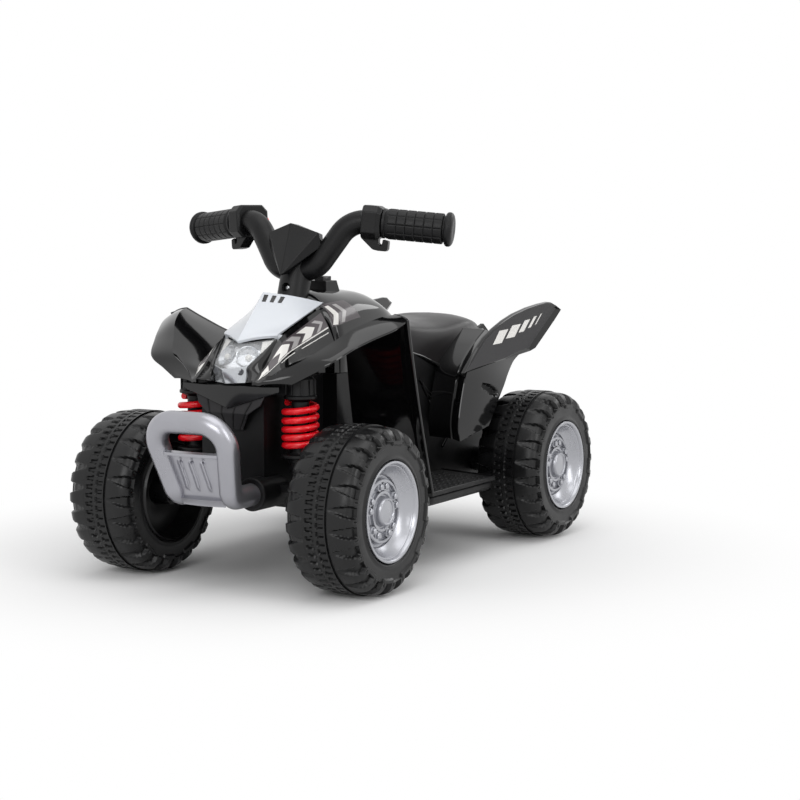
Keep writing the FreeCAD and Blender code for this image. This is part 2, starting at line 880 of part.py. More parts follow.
# Front fenders
def fender_row(shares):
    """Inner edge, valley, crease and outer edge of one row, all in one upright plane."""
    inner_run, outer_run, inner_rise = shares[:3]
    reaches = (0,) + shares[3::2]
    rises = (inner_rise,) + shares[4::2]
    points = []
    for reach, rise in zip(reaches, rises):
        run = spread(inner_run, outer_run, reach / reaches[-1])
        points.append(V(spread(fender_inner_x, fender_outer_x, reach),
                        spread(fender_tip_y, fender_rear_y, run),
                        spread(fender_low_z, fender_top_z, rise)))
    return points


def front_fender():
    drop = V(0, 0, fender_wall)
    sections = []
    for shares in fender_row_shares:
        points = fender_row(shares)
        sections.append(points + [p - drop for p in reversed(points)])
    ramp = ruled(sections)
    last_row = fender_row(fender_row_shares[-1])
    inner, outer = last_row[0], last_row[-1]
    shield_x = tub_half + seat_gap
    first = inner + (outer - inner) * ((shield_x - inner.x) / (outer.x - inner.x)) - drop / 4
    last = outer - drop / 4
    back = V(0, fender_wall, 0)
    foot_z = board_top_z + seat_gap
    foot_first = V(shield_x, shield_foot_y, foot_z)
    foot_last = V(shield_outer_x, shield_foot_y, foot_z)
    shield = ruled([
        [first - back, last - back, last, first],
        [foot_first, foot_last, foot_last + back, foot_first + back]])
    return ramp.fuse(shield).removeSplitter()


# Nose panel, headlight, grille and bumper
def nose_panel():
    drop = V(0, 0, nose_drop)
    apex = V(0, nose_apex_y, nose_apex_z)
    ridge = V(0, nose_ridge_y, nose_ridge_z)
    side = V(nose_side_x, nose_side_y, nose_side_z)
    arm = V(nose_arm_x, nose_arm_y, nose_arm_z)
    half = ruled([[apex, ridge, ridge - drop, apex - drop], [side, arm, arm - drop, side - drop]])
    return both_sides(half)


def lens_centre():
    top_z = nose_apex_z - nose_drop - seat_gap
    return [(lens_top_y, top_z), (lens_fold_y, lens_fold_z), (lens_chin_y, lens_chin_z)]


def lens_side():
    return [(lens_side_top_y, lens_side_top_z), (lens_side_mid_y, lens_side_mid_z),
            (lens_side_low_y, lens_side_low_z)]


def lens_outline(x):
    """Outline of the lens, as (y, z) points, at a distance from its fold."""
    share = x / lens_side_x
    pairs = zip(lens_centre(), lens_side())
    return [(spread(a[0], b[0], share), spread(a[1], b[1], share)) for a, b in pairs]


def headlight_lens():
    sections = []
    for x in (0, lens_side_x):
        outer = [V(x, y, z) for y, z in lens_outline(x)]
        sections.append(outer + [p + V(0, lens_wall, 0) for p in reversed(outer)])
    return both_sides(ruled(sections))


def reflector_section(x):
    """Outline behind the lens: fold, floor at the deck, back against the cowl, roof."""
    back = lens_wall + reflector_gap
    (top_y, top_z), (fold_y, fold_z), (low_y, low_z) = lens_outline(x)
    share = (reflector_top_z - fold_z) / (top_z - fold_z)
    roof_y = spread(fold_y, top_y, share) + back
    wall_y = cowl_front_y - seat_gap
    return [V(x, fold_y + back, fold_z), V(x, low_y + back, deck_z + seat_gap),
            V(x, wall_y, deck_z + seat_gap), V(x, wall_y, reflector_top_z), V(x, roof_y, reflector_top_z)]


def lamps(gap):
    found = []
    back = bowl_y + bowl_radius
    for side in (1, -1):
        start = V(side * bowl_x, back + lamp_length - lamp_proud, bowl_z)
        found.append(rod(start + V(0, gap, 0), start - V(0, lamp_length, 0), lamp_radius + gap))
    return found


def headlight_reflector():
    block = both_sides(ruled([reflector_section(0), reflector_section(reflector_side_x)]))
    bowls = [Part.makeSphere(bowl_radius, V(side * bowl_x, bowl_y, bowl_z)) for side in (1, -1)]
    return block.cut(bowls + lamps(fit_gap))


def front_grille():
    back = front_box_y

    def band_section(x, top, low, reach):
        return [V(x, back - reach, top), V(x, back - reach, low), V(x, back, low), V(x, back, top)]

    def plate_section(half, z, reach):
        return [V(-half, back - reach, z), V(half, back - reach, z), V(half, back, z), V(-half, back, z)]
    band = both_sides(ruled([
        band_section(0, band_top_z - band_beak_drop, band_point_z, band_beak),
        band_section(band_half, band_top_z, band_side_z, band_thickness)]))
    top_z = band_side_z
    plate = ruled([
        plate_section(grille_top_half, top_z, grille_thickness),
        plate_section(grille_fold_half, grille_fold_z, grille_fold_reach),
        plate_section(grille_low_half, grille_low_z, grille_thickness)])
    ribs = []
    for i in range(grille_rib_count):
        x = spread(-grille_low_half, grille_low_half, (i + 0.5) / grille_rib_count)
        ribs.append(side_prism([
            (back, top_z), (back - grille_thickness - grille_rib / 2, top_z),
            (back - grille_fold_reach - grille_rib / 2, grille_fold_z),
            (back - grille_thickness - grille_rib / 2, grille_low_z), (back, grille_low_z)],
            x - grille_rib / 2, x + grille_rib / 2))
    return band.fuse([plate] + ribs).removeSplitter()


def bumper_leg_at(z):
    share = (z - bumper_foot_z) / (bumper_corner_z - bumper_foot_z)
    return V(spread(bumper_foot_x, bumper_corner_x, share), spread(bumper_foot_y, bumper_front_y, share), z)


def front_bumper():
    end = V(bumper_foot_x, front_box_y - seat_gap, bumper_foot_z)
    foot = V(bumper_foot_x, bumper_foot_y, bumper_foot_z)
    corner = V(bumper_corner_x, bumper_front_y, bumper_corner_z)
    points = [end, foot, corner, flipped(corner), flipped(foot), flipped(end)]
    bends = [bumper_foot_bend, bumper_corner_bend, bumper_corner_bend, bumper_foot_bend]
    loop = bent_tube(points, bends, bumper_tube_radius)
    half = V(0, bumper_plate_thickness / 2, 0)
    sections = []
    lips = []
    for z in (bumper_plate_low_z, bumper_plate_top_z):
        leg = bumper_leg_at(z)
        sections.append([leg - half, flipped(leg) - half, flipped(leg) + half, leg + half])
        inset = leg.x - bumper_tube_radius / 2
        lips.append(box(-inset, inset, leg.y - half.y - bumper_lip_reach, leg.y + half.y,
                        z - bumper_lip_height / 2, z + bumper_lip_height / 2))
    return loop.fuse([ruled(sections)] + lips)


def build_front():
    body = cowl_body()
    save("front_cowl", front_cowl())
    save("switch_pod", switch_pod(body))
    save("direction_switch", direction_switch())
    fender = front_fender()
    save("front_fender_left", fender)
    save("front_fender_right", mirrored(fender))
    save("nose_panel", nose_panel())
    save("headlight_lens", headlight_lens())
    save("headlight_reflector", headlight_reflector())
    save("headlight_lamps", Part.makeCompound(lamps(0.0)))
    save("front_grille", front_grille())
    save("front_bumper", front_bumper())


# Shock bodies, springs and knuckles
def shock_body():
    def post(z0, z1, radius):
        return rod(V(shock_x, 0, z0), V(shock_x, 0, z1), radius)
    bracket = box(front_box_half, shock_x, -shock_bracket_half, shock_bracket_half,
                  shock_bracket_low_z, shock_bracket_top_z)
    seat_top = shock_seat_low_z + shock_seat_thickness
    body = post(shock_low_z, shock_seat_low_z, shock_post_radius).fuse([
        post(shock_seat_low_z, seat_top, shock_seat_radius),
        post(seat_top, shock_tower_z, shock_body_radius),
        post(shock_tower_z, shock_tower_top_z, shock_tower_radius), bracket])
    bore = post(shock_low_z - overrun, kingpin_top_z + seat_gap, kingpin_radius + fit_gap)
    return body.cut(bore).removeSplitter()


def spring_point(turn):
    """Centre of the wire: the curls lie closer towards the lower seat."""
    low = shock_seat_low_z + shock_seat_thickness + spring_wire_radius + spring_end_gap
    high = shock_tower_z - spring_wire_radius - spring_end_gap
    share = turn / spring_turns
    rise = share * (1 - spring_tight_share) + share * share * spring_tight_share
    angle = 2 * math.pi * turn
    return V(spring_radius * math.cos(angle), spring_radius * math.sin(angle), spread(low, high, rise))


def spring_tangent(turn):
    step = 1 / 1000
    way = spring_point(turn + step) - spring_point(turn - step)
    way.normalize()
    return way


def least_spring_gap():
    samples = 40
    points = [spring_point(i / samples) for i in range(int(spring_turns * samples) + 1)]
    gaps = []
    for i, point in enumerate(points):
        for other in points[i + samples // 2:]:
            gaps.append((point - other).Length)
    return min(gaps) - 2 * spring_wire_radius


def spring():
    count = int(spring_turns * spring_arcs_per_turn)
    edges = []
    for i in range(count):
        a = i / spring_arcs_per_turn
        b = (i + 1) / spring_arcs_per_turn
        edges += biarc(spring_point(a), spring_tangent(a), spring_point(b), spring_tangent(b))
    start_way = spring_tangent(0)
    end_way = spring_tangent(spring_turns)
    run = 2 * spring_wire_radius
    start = spring_point(0) - start_way * run
    end = spring_point(spring_turns) + end_way * run
    edges.insert(0, Part.LineSegment(start, spring_point(0)).toShape())
    edges.append(Part.LineSegment(spring_point(spring_turns), end).toShape())
    coil = pipe(edges, start, start_way, spring_wire_radius)
    print("least gap between spring curls", round(least_spring_gap(), 2))
    coil.translate(V(shock_x, 0, 0))
    return coil


def knuckle():
    top = V(shock_x, 0, kingpin_top_z)
    hub_low = V(shock_x, 0, knuckle_hub_low_z)
    hub_top = V(shock_x, 0, beam_low_z - seat_gap)
    centre = V(shock_x, 0, 0)
    collar_end = V(track / 2 - hub_inner_reach - axle_tube_end_gap, 0, 0)
    stub = V(track / 2 + stub_end, 0, 0)
    arm_low_z = arm_top_z - arm_thickness
    eye = V(shock_x, 0, arm_low_z)
    end = V(shock_x, arm_length, arm_low_z)
    rise = V(0, 0, arm_thickness)
    pin_top = V(shock_x, arm_length, tie_top_z + pin_head_reach)
    return rod(hub_low, top, kingpin_radius).fuse([
        rod(hub_low, hub_top, knuckle_hub_radius), rod(centre, stub, axle_radius),
        rod(centre, collar_end, knuckle_collar_radius),
        rod(eye, eye + rise, arm_half_width + pin_head_reach), rod(end, end + rise, arm_half_width),
        box(shock_x - arm_half_width, shock_x + arm_half_width, 0, arm_length, arm_low_z, arm_top_z),
        rod(end, pin_top, pin_radius)]).removeSplitter()


def tie_slot(x, y):
    side = pin_radius + tie_slot_side_gap
    run = pin_radius + tie_slot_half_run
    return box(x - side, x + side, y - run, y + run, tie_low_z - overrun, tie_top_z + overrun)


def crank_pin_y():
    """Place of the crank pin where it passes through the tie rod."""
    end = column_at(crank_z) + crank_way * crank_length
    return end.y + ((tie_low_z + tie_top_z) / 2 - end.z) * math.tan(rake)


def tie_rod():
    bar = box(-tie_rod_half_length, tie_rod_half_length, arm_length - tie_rod_half_width,
              arm_length + tie_rod_half_width, tie_low_z, tie_top_z)
    eyes = []
    slots = []
    retreat = crank_length * (1 - math.cos(math.radians(steering_limit_deg)))
    for x, y in ((-shock_x, arm_length), (0, crank_pin_y() - retreat / 2), (shock_x, arm_length)):
        eyes.append(box(x - tie_eye_half_width, x + tie_eye_half_width, y - tie_eye_half_length,
                        y + tie_eye_half_length, tie_low_z, tie_top_z))
        slots.append(tie_slot(x, y))
    return bar.fuse(eyes).cut(slots).removeSplitter()


def build_suspension():
    for name, side in (("left", 1), ("right", -1)):
        save("shock_body_" + name, on_side(shock_body(), side))
        save("knuckle_" + name, on_side(knuckle(), side))
    coil = spring()
    save("spring_left", coil)
    other = coil.copy()
    other.translate(V(-2 * shock_x, 0, 0))
    save("spring_right", other)
    save("tie_rod", tie_rod())


# Steering column and handlebar
def steering_column():
    foot = column_at(column_foot_z)
    top = column_at(rod_top_z)
    base = column_at(crank_z)
    crank = Part.makeBox(2 * crank_half_width, crank_length + crank_half_width, crank_thickness)
    turn = FreeCAD.Rotation(V(1, 0, 0), crank_way, column_axis, "XYZ")
    corner = base - V(crank_half_width, 0, 0) - column_axis * crank_thickness
    crank.Placement = FreeCAD.Placement(corner, turn)
    end = base + crank_way * crank_length
    pin = rod(end - column_axis * crank_thickness, end + column_axis * crank_pin_length, pin_radius)
    boss = rod(base - column_axis * crank_thickness, base, column_radius + bush_boss_wall)
    return rod(foot, top, column_radius).fuse([crank, pin, boss])


def column_bushes():
    bushes = []
    for z, length, radius in ((bush_low_z, bush_length, bush_radius),
                              (upper_bush_z, upper_bush_length, upper_bush_radius)):
        low = column_at(z)
        top = low + column_axis * length
        bore = rod(low - column_axis * overrun, top + column_axis * overrun, column_radius + fit_gap)
        bushes.append(rod(low, top, radius).cut(bore))
    return bushes


def bar_points():
    low = V(bar_low_x, column_at(bar_low_z).y, bar_low_z)
    high = V(bar_high_x, bar_high_y, bar_high_z)
    end = V(bar_end_x, bar_end_y, bar_end_z)
    return low, high, end


def bar_way():
    low, high, end = bar_points()
    way = end - high
    way.normalize()
    return way


def along_bar(distance):
    return bar_points()[1] + bar_way() * distance


def bar_length():
    low, high, end = bar_points()
    return (end - high).Length


def bar_frame():
    """Directions at the left grip: along the bar, towards the rider, up."""
    way = bar_way()
    rear = V(0, 0, 1).cross(way)
    rear.normalize()
    return way, rear, way.cross(rear)


def column_screw(gap):
    angle = math.radians(screw_turn_deg)
    out = V(math.cos(angle), math.sin(angle), 0)
    centre = column_at(screw_z)
    face = centre + out * (sleeve_radius + gap)
    neck = face - out * (screw_head_height - screw_head_height / 4 + gap)
    tip = neck - out * (screw_length - screw_head_height)
    head = rod(neck, face + out * (screw_head_height / 4 + gap), screw_head_radius + gap)
    return head.fuse(rod(neck, tip, screw_shank_radius + gap))


def handlebar():
    low, high, end = bar_points()
    way = bar_way()
    tip = end - way * grip_end_wall
    points = [tip, high, low, flipped(low), flipped(high), flipped(tip)]
    bends = [bar_high_bend, bar_low_bend, bar_low_bend, bar_high_bend]
    tube = bent_tube(points, bends, bar_radius)
    sleeve = rod(column_at(sleeve_low_z), column_at(sleeve_top_z), sleeve_radius)
    bore = rod(column_at(sleeve_low_z) - column_axis * overrun, column_at(rod_top_z), column_radius + fit_gap)
    return tube.fuse(sleeve).cut([bore, column_screw(fit_gap)])


def handlebar_cover(bar):
    back = V(0, cover_thickness, 0)
    ridge = [V(0, cover_low_y, cover_low_z), V(0, cover_top_y, cover_top_z)]
    side = [V(cover_side_x, cover_side_y, cover_side_low_z), V(cover_side_x, cover_side_y, cover_side_top_z)]
    sections = [line + [p + back for p in reversed(line)] for line in (ridge, side)]
    return both_sides(ruled(sections)).cut(bar)


def grip():
    start = along_bar(block_start + block_length + seat_gap)
    end = along_bar(bar_length())
    way = bar_way()
    flange = rod(end - way * grip_flange_length, end, grip_flange_radius)
    bore = rod(start - way * overrun, end - way * grip_end_wall, bar_radius + fit_gap)
    return rod(start, end, grip_radius).fuse(flange).cut(bore)


def button_rod(start, end, radius):
    way, rear, up = bar_frame()
    middle = along_bar(block_start + block_length / 2)
    return rod(middle + rear * start, middle + rear * end, radius)


def control_block(with_button):
    way, rear, up = bar_frame()
    base = along_bar(block_start)
    cut = block_chamfer
    high = block_half_height
    outline = [
        (-block_front, cut - high), (cut - block_front, -high),
        (block_rear - cut, -high), (block_rear, cut - high),
        (block_rear, high - cut), (block_rear - cut, high),
        (cut - block_front, high), (-block_front, high - cut)]
    face = Part.Face(polygon([base + rear * a + up * b for a, b in outline]))
    block = face.extrude(way * block_length)
    hook_profile = [
        (0, -high + cut), (0, -high), (block_length - hook_thickness, -high - hook_drop),
        (block_length + hook_reach, -high - hook_drop), (block_length + hook_reach, -high),
        (block_length + hook_reach - hook_thickness, -high),
        (block_length + hook_reach - hook_thickness, -high - hook_drop + hook_thickness),
        (block_length, -high), (block_length, -high + cut)]
    hook_base = base - rear * (hook_width / 2)
    hook_face = Part.Face(polygon([hook_base + way * a + up * b for a, b in hook_profile]))
    hook = hook_face.extrude(rear * hook_width)
    bore = rod(base - way * overrun, base + way * (block_length + overrun), bar_radius + fit_gap)
    body = block.fuse(hook).cut(bore)
    if with_button:
        inner = block_rear - button_length
        body = body.cut(button_rod(inner, block_rear + overrun, button_radius + button_side_gap))
    return body


def throttle_button():
    outer = block_rear + button_travel
    return button_rod(outer - button_length, outer, button_radius)


def build_steering():
    save("steering_column", steering_column())
    save("column_bushes", Part.makeCompound(column_bushes()))
    bar = handlebar()
    save("handlebar", bar)
    save("handlebar_cover", handlebar_cover(bar))
    save("column_screw", column_screw(0.0))
    save("grip_left", grip())
    save("grip_right", mirrored(grip()))
    save("control_block_left", control_block(False))
    save("control_block_right", mirrored(control_block(True)))
    save("throttle_button", mirrored(throttle_button()))


# Seat and rear fenders
def seat_form(inset, half_limit):
    """Crowned form of the seat; a smaller copy of it hollows the seat from below."""
    wires = []
    for at, half, low, shoulder, crown in seat_row_shares:
        y = spread(seat_front_y + inset, seat_rear_y - inset, at)
        a = min(seat_half * half, half_limit) - inset
        b = a * seat_shoulder_share
        z = [spread(seat_skirt_z, seat_top_z, share) - inset for share in (low, shoulder, crown)]
        z[0] -= inset * seat_hollow_drop_share
        edges = [
            Part.LineSegment(V(-a, y, z[0]), V(a, y, z[0])).toShape(),
            Part.LineSegment(V(a, y, z[0]), V(b, y, z[1])).toShape(),
            Part.Arc(V(b, y, z[1]), V(0, y, z[2]), V(-b, y, z[1])).toShape(),
            Part.LineSegment(V(-b, y, z[1]), V(-a, y, z[0])).toShape()]
        wires.append(Part.Wire(edges))
    return Part.makeLoft(wires, True, False)


def seat():
    under = side_prism(tub_outline(), -tub_half, tub_half)
    return seat_form(0.0, seat_half).cut([under, seat_form(seat_wall, tub_half - tray_wall)])


def panel_spot(shares):
    return spread(panel_front_y, panel_rear_y, shares[0]), spread(panel_low_z, panel_top_z, shares[1])


def panel_face(x):
    def at(shares):
        y, z = panel_spot(shares)
        return V(x, y, z)
    arch = []
    for deg, gap in zip(arch_bearings_deg, (arch_low_gap, arch_mid_gap, arch_high_gap)):
        arch.append(rear_axle + V(x, 0, 0) + bearing(deg, wheel_radius + gap))
    low = at(panel_low_share)
    rest = [arch[2]] + [at(shares) for shares in panel_high_shares + panel_front_shares] + [low]
    edges = [Part.LineSegment(low, arch[0]).toShape(), Part.Arc(*arch).toShape()]
    edges += [Part.LineSegment(a, b).toShape() for a, b in zip(rest, rest[1:])]
    return Part.Face(Part.Wire(edges))


def wing():
    sections = []
    tip_y = wheelbase + rear_overhang
    for inset in (0.0, wing_thickness):
        points = []
        for along, up in wing_shares:
            x = spread(wing_front_x, wing_tip_x, along) - inset
            points.append(V(x, spread(wing_front_y, tip_y, along), spread(wing_low_z, wing_top_z, up)))
        sections.append(points)
    return ruled(sections)


def rear_fender():
    solid = panel_face(tub_half).extrude(V(panel_x - tub_half, 0, 0))
    hollow_face = panel_face(tub_half - overrun).makeOffset2D(-panel_wall)
    hollow = Part.Face(hollow_face.Wires).extrude(V(panel_x - panel_wall - tub_half + overrun, 0, 0))
    above = box(tub_half - overrun, panel_inner_x, panel_front_y - overrun, panel_rear_y + overrun,
                panel_cut_z, panel_top_z + overrun)
    return solid.cut([hollow, above]).fuse(wing())


def build_rear():
    save("seat", seat())
    fender = rear_fender()
    save("rear_fender_left", fender)
    save("rear_fender_right", mirrored(fender))


# Drive
def gear_solid(teeth, x0, x1, bore, turn_deg):
    pitch = gear_module * teeth / 2
    root = pitch - gear_module * gear_root_share
    tip = pitch + gear_module * gear_tip_share
    step = 2 * math.pi / teeth
    outline = []
    for i in range(teeth):
        for radius, share in zip((root, tip, tip, root), gear_flank_shares):
            angle = step * (i + share) + math.radians(turn_deg)
            outline.append((radius * math.cos(angle), radius * math.sin(angle)))
    wheel = side_prism(outline, x0, x1)
    return wheel.cut(rod(V(x0 - overrun, 0, 0), V(x1 + overrun, 0, 0), bore)) if bore else wheel


def bearing(deg, distance):
    angle = math.radians(deg)
    return V(0, distance * math.cos(angle), distance * math.sin(angle))


def idler_centre():
    return rear_axle + bearing(idler_bearing_deg, gear_module * (drive_teeth + idler_small_teeth) / 2)


def motor_centre():
    return idler_centre() + bearing(motor_bearing_deg, gear_module * (idler_large_teeth + pinion_teeth) / 2)


def drive_gear():
    """Gear with a long sleeve on the axle, which carries the left rear wheel round."""
    bore = axle_radius + fit_gap
    sleeve_end = track / 2 - hub_inner_reach
    wheel = gear_solid(drive_teeth, drive_gear_x, drive_gear_x + gear_width, bore, idler_bearing_deg)
    sleeve = rod(V(drive_gear_x, 0, 0), V(sleeve_end, 0, 0), bore + sleeve_wall)
    hole = rod(V(drive_gear_x - overrun, 0, 0), V(sleeve_end + overrun, 0, 0), bore)
    whole = wheel.fuse(sleeve.cut(hole))
    whole.translate(rear_axle)
    return whole


def idler_gear():
    bore = idler_pin_radius + fit_gap
    half_step = 180 / idler_small_teeth
    small_x = drive_gear_x - idler_step
    end = drive_gear_x + gear_width
    small = gear_solid(idler_small_teeth, small_x, end, bore, idler_bearing_deg + 180 + half_step)
    large = gear_solid(idler_large_teeth, small_x - idler_large_width, small_x, bore, motor_bearing_deg)
    whole = small.fuse(large)
    whole.translate(idler_centre())
    return whole


def pinion_start():
    return case_x + case_wall + seat_gap


def motor_pinion():
    half_step = 180 / pinion_teeth
    end = drive_gear_x - idler_step
    gear = gear_solid(pinion_teeth, pinion_start(), end, 0, motor_bearing_deg + 180 + half_step)
    shaft = rod(V(case_x - motor_shaft_length(), 0, 0), V(end, 0, 0), motor_shaft_radius)
    whole = gear.fuse(shaft)
    whole.translate(motor_centre())
    return whole


def motor_shaft_length():
    return motor_length / 2


def motor():
    face = V(case_x, 0, 0)
    can = rod(face, face - V(motor_length, 0, 0), motor_radius)
    shaft_end = face - V(motor_shaft_length() + seat_gap, 0, 0)
    bore = rod(face + V(overrun, 0, 0), shaft_end, motor_shaft_radius + fit_gap)
    whole = can.cut(bore)
    whole.translate(motor_centre())
    return whole


def gearbox_case():
    low = tray_floor_z + seat_gap
    shell = box(case_x, case_open_x, case_front_y, case_rear_y, low, case_top_z)
    hollow = box(case_x + case_wall, case_open_x + overrun, case_front_y + case_wall,
                 case_rear_y - case_wall, low + case_wall, case_top_z - case_wall)
    left = V(case_x - overrun, 0, 0)
    right = V(case_x + case_wall + overrun, 0, 0)
    axle_hole = rod(rear_axle + left, rear_axle + right, axle_radius + fit_gap)
    shaft_hole = rod(motor_centre() + left, motor_centre() + right, motor_shaft_radius + fit_gap)
    pin = rod(idler_centre() + V(case_x, 0, 0), idler_centre() + V(case_open_x, 0, 0), idler_pin_radius)
    return shell.cut([hollow, axle_hole, shaft_hole]).fuse(pin)


def gearbox_cover():
    low = tray_floor_z + seat_gap
    end = case_open_x + case_wall
    plate = box(case_open_x, end, case_front_y, case_rear_y, low, case_top_z)
    hole = rod(rear_axle + V(case_open_x - overrun, 0, 0), rear_axle + V(end + overrun, 0, 0),
               axle_radius + fit_gap + sleeve_wall + fit_gap)
    return plate.cut(hole)


def battery():
    return box(-battery_half_width, battery_half_width, battery_y, battery_y + battery_run,
               tray_floor_z, tray_floor_z + battery_height)


def battery_clamp():
    middle = battery_y + battery_run / 2
    low = tray_floor_z + battery_height
    reach = tub_half - tray_wall
    return box(-reach, reach, middle - clamp_run / 2, middle + clamp_run / 2, low, low + clamp_thickness)


def build_drive():
    save("drive_gear", drive_gear())
    save("idler_gear", idler_gear())
    save("motor_pinion", motor_pinion())
    save("motor", motor())
    save("gearbox_case", gearbox_case())
    save("gearbox_cover", gearbox_cover())
    save("battery", battery())
    save("battery_clamp", battery_clamp())


os.makedirs("parts", exist_ok=True)
build_wheels()
build_chassis()
build_front()
build_suspension()
build_steering()
build_rear()
build_drive()
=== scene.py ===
"""Dresses a toddler's electric quad bike: smooth mouldings, treaded tyres, finishes and a studio."""
import json
import math

import bmesh
import bpy
from mathutils import Matrix, Vector


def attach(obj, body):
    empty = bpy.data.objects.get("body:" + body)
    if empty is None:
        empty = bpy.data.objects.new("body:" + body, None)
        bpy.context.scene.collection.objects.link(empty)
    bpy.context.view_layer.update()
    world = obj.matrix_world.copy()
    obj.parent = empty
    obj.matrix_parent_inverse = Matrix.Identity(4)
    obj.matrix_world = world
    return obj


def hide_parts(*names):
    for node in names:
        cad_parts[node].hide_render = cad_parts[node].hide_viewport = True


bl_info = {
    "name": "Toddler Quad Bike",
    "version": (1, 0, 0),
    "blender": (4, 5, 0),
    "location": "3D View > Sidebar > Quad Bike",
    "description": "Builds the mouldings, wheels and finishes of a toddler's electric quad bike",
    "category": "Object",
}

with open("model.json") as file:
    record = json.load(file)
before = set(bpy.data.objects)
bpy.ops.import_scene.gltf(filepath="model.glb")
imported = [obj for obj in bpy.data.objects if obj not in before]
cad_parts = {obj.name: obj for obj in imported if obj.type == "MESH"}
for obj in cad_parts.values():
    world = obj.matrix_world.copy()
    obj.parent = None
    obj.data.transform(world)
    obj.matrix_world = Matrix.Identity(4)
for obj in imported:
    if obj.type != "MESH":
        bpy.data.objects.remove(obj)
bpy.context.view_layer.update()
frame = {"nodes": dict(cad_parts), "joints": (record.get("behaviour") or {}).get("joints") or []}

MM = 0.001
# The pieces are drawn in millimetres from the front axle: X to the rider's left, Y to the rear, Z up
AXLE_Y = next(j["pos_m"][1] for j in frame["joints"] if j["name"] == "wheel_front_left_spin") / MM
TURN = 2 * math.pi
# Corners that lie nearer to each other than this many millimetres are one
WELD = 0.01
SIDES = (("left", 1), ("right", -1))


def to_frame(point):
    """Place in the shared frame, in metres, of a point in millimetres from the front axle."""
    return Vector((point[0], point[1] + AXLE_Y, point[2])) * MM


def spread(a, b, share):
    """Value at a share of the way from a to b."""
    return a + (b - a) * share


def smooth(low, high, value):
    """0 up to low, 1 from high on, with a soft run between them."""
    share = min(max((value - low) / (high - low), 0.0), 1.0)
    return share * share * (3 - 2 * share)


def flow(points, steps):
    """Smooth run of points through the given ones, with that many steps between neighbours."""
    found = []
    for i in range(len(points) - 1):
        before = points[max(i - 1, 0)]
        after = points[min(i + 2, len(points) - 1)]
        a = points[i]
        b = points[i + 1]
        for step in range(steps):
            t = step / steps
            found.append(tuple(
                0.5 * (2 * a[k] + (b[k] - before[k]) * t
                       + (2 * before[k] - 5 * a[k] + 4 * b[k] - after[k]) * t * t
                       + (3 * a[k] - before[k] - 3 * b[k] + after[k]) * t ** 3)
                for k in range(len(a))))
    found.append(tuple(points[-1]))
    return found


def net(rows, closed=False):
    """Corners and faces of a net of rows with equal counts; closed joins each row's end to its start."""
    count = len(rows[0])
    corners = [p for row in rows for p in row]
    faces = []
    for row in range(0, len(corners) - count, count):
        for j in range(count if closed else count - 1):
            k = (j + 1) % count
            faces.append((row + j, row + k, row + count + k, row + count + j))
    return corners, faces


def ended(rows):
    """Net of open rows with a flat face over the first row and one over the last."""
    corners, faces = net(rows)
    count = len(rows[0])
    return corners, faces + [tuple(range(count)), tuple(range(len(corners) - count, len(corners)))]


def joined(*parts):
    """One list of corners and one of faces out of several."""
    corners = []
    faces = []
    for more, rings in parts:
        faces += [tuple(i + len(corners) for i in ring) for ring in rings]
        corners += list(more)
    return corners, faces


def capped(rows):
    """Closed body through rings of points, with flat ends."""
    corners, faces = net(rows, closed=True)
    count = len(rows[0])
    first = tuple(reversed(range(count)))
    last = tuple(range(len(corners) - count, len(corners)))
    return corners, faces + [first, last]


def prism(outline, offset):
    """Closed body between an outline and its copy moved by offset."""
    return capped([[tuple(p) for p in outline], [tuple(Vector(p) + Vector(offset)) for p in outline]])


def circle(centre, side, other, radius, steps, lead=0.0):
    """Ring of points round a centre in the plane of two unit vectors; lead is the first point's angle."""
    found = []
    for i in range(steps):
        angle = TURN * i / steps + lead
        found.append(tuple(centre + (side * math.cos(angle) + other * math.sin(angle)) * radius))
    return found


def turned(profile, start, way, steps):
    """Net of a profile of (distance, radius) turned about the line from start along way."""
    way = Vector(way).normalized()
    side = way.orthogonal().normalized()
    other = way.cross(side)
    rows = [circle(Vector(start) + way * distance, side, other, radius, steps)
            for distance, radius in profile]
    return net(rows, closed=True)


def rounded_path(points, bends, steps):
    """Points of a bent tube's centre line, with each corner turned by its bend radius."""
    found = [Vector(points[0])]
    for before, corner, after, bend in zip(points, points[1:], points[2:], bends):
        corner = Vector(corner)
        come = (corner - Vector(before)).normalized()
        leave = (Vector(after) - corner).normalized()
        angle = come.angle(leave)
        first = corner - come * bend * math.tan(angle / 2)
        turn_axis = come.cross(leave).normalized()
        centre = first + turn_axis.cross(come) * bend
        for i in range(steps + 1):
            found.append(centre + Matrix.Rotation(angle * i / steps, 3, turn_axis) @ (first - centre))
    found.append(Vector(points[-1]))
    return found


def tube(path, radius, steps):
    """Round tube along a path, with its rings carried round the bends without twist."""
    path = [Vector(p) for p in path]
    side = (path[1] - path[0]).orthogonal().normalized()
    rows = []
    for i, point in enumerate(path):
        way = (path[min(i + 1, len(path) - 1)] - path[max(i - 1, 0)]).normalized()
        side = (side - way * side.dot(way)).normalized()
        other = way.cross(side)
        rows.append(circle(point, side, other, radius, steps))
    return capped(rows)


def mirrored(part):
    """The part on the other side of the middle plane."""
    corners, faces = part
    return [(-x, y, z) for x, y, z in corners], [tuple(reversed(ring)) for ring in faces]


def on_side(part, side):
    """A part that is drawn on the left, for side 1, or its mirror image, for side -1."""
    return part if side > 0 else mirrored(part)


def both_sides(part):
    """A part that is drawn on the left, together with its mirror image."""
    return joined(part, mirrored(part))


def shift(part, offset):
    """The part moved by offset."""
    corners, faces = part
    return [tuple(Vector(p) + Vector(offset)) for p in corners], faces


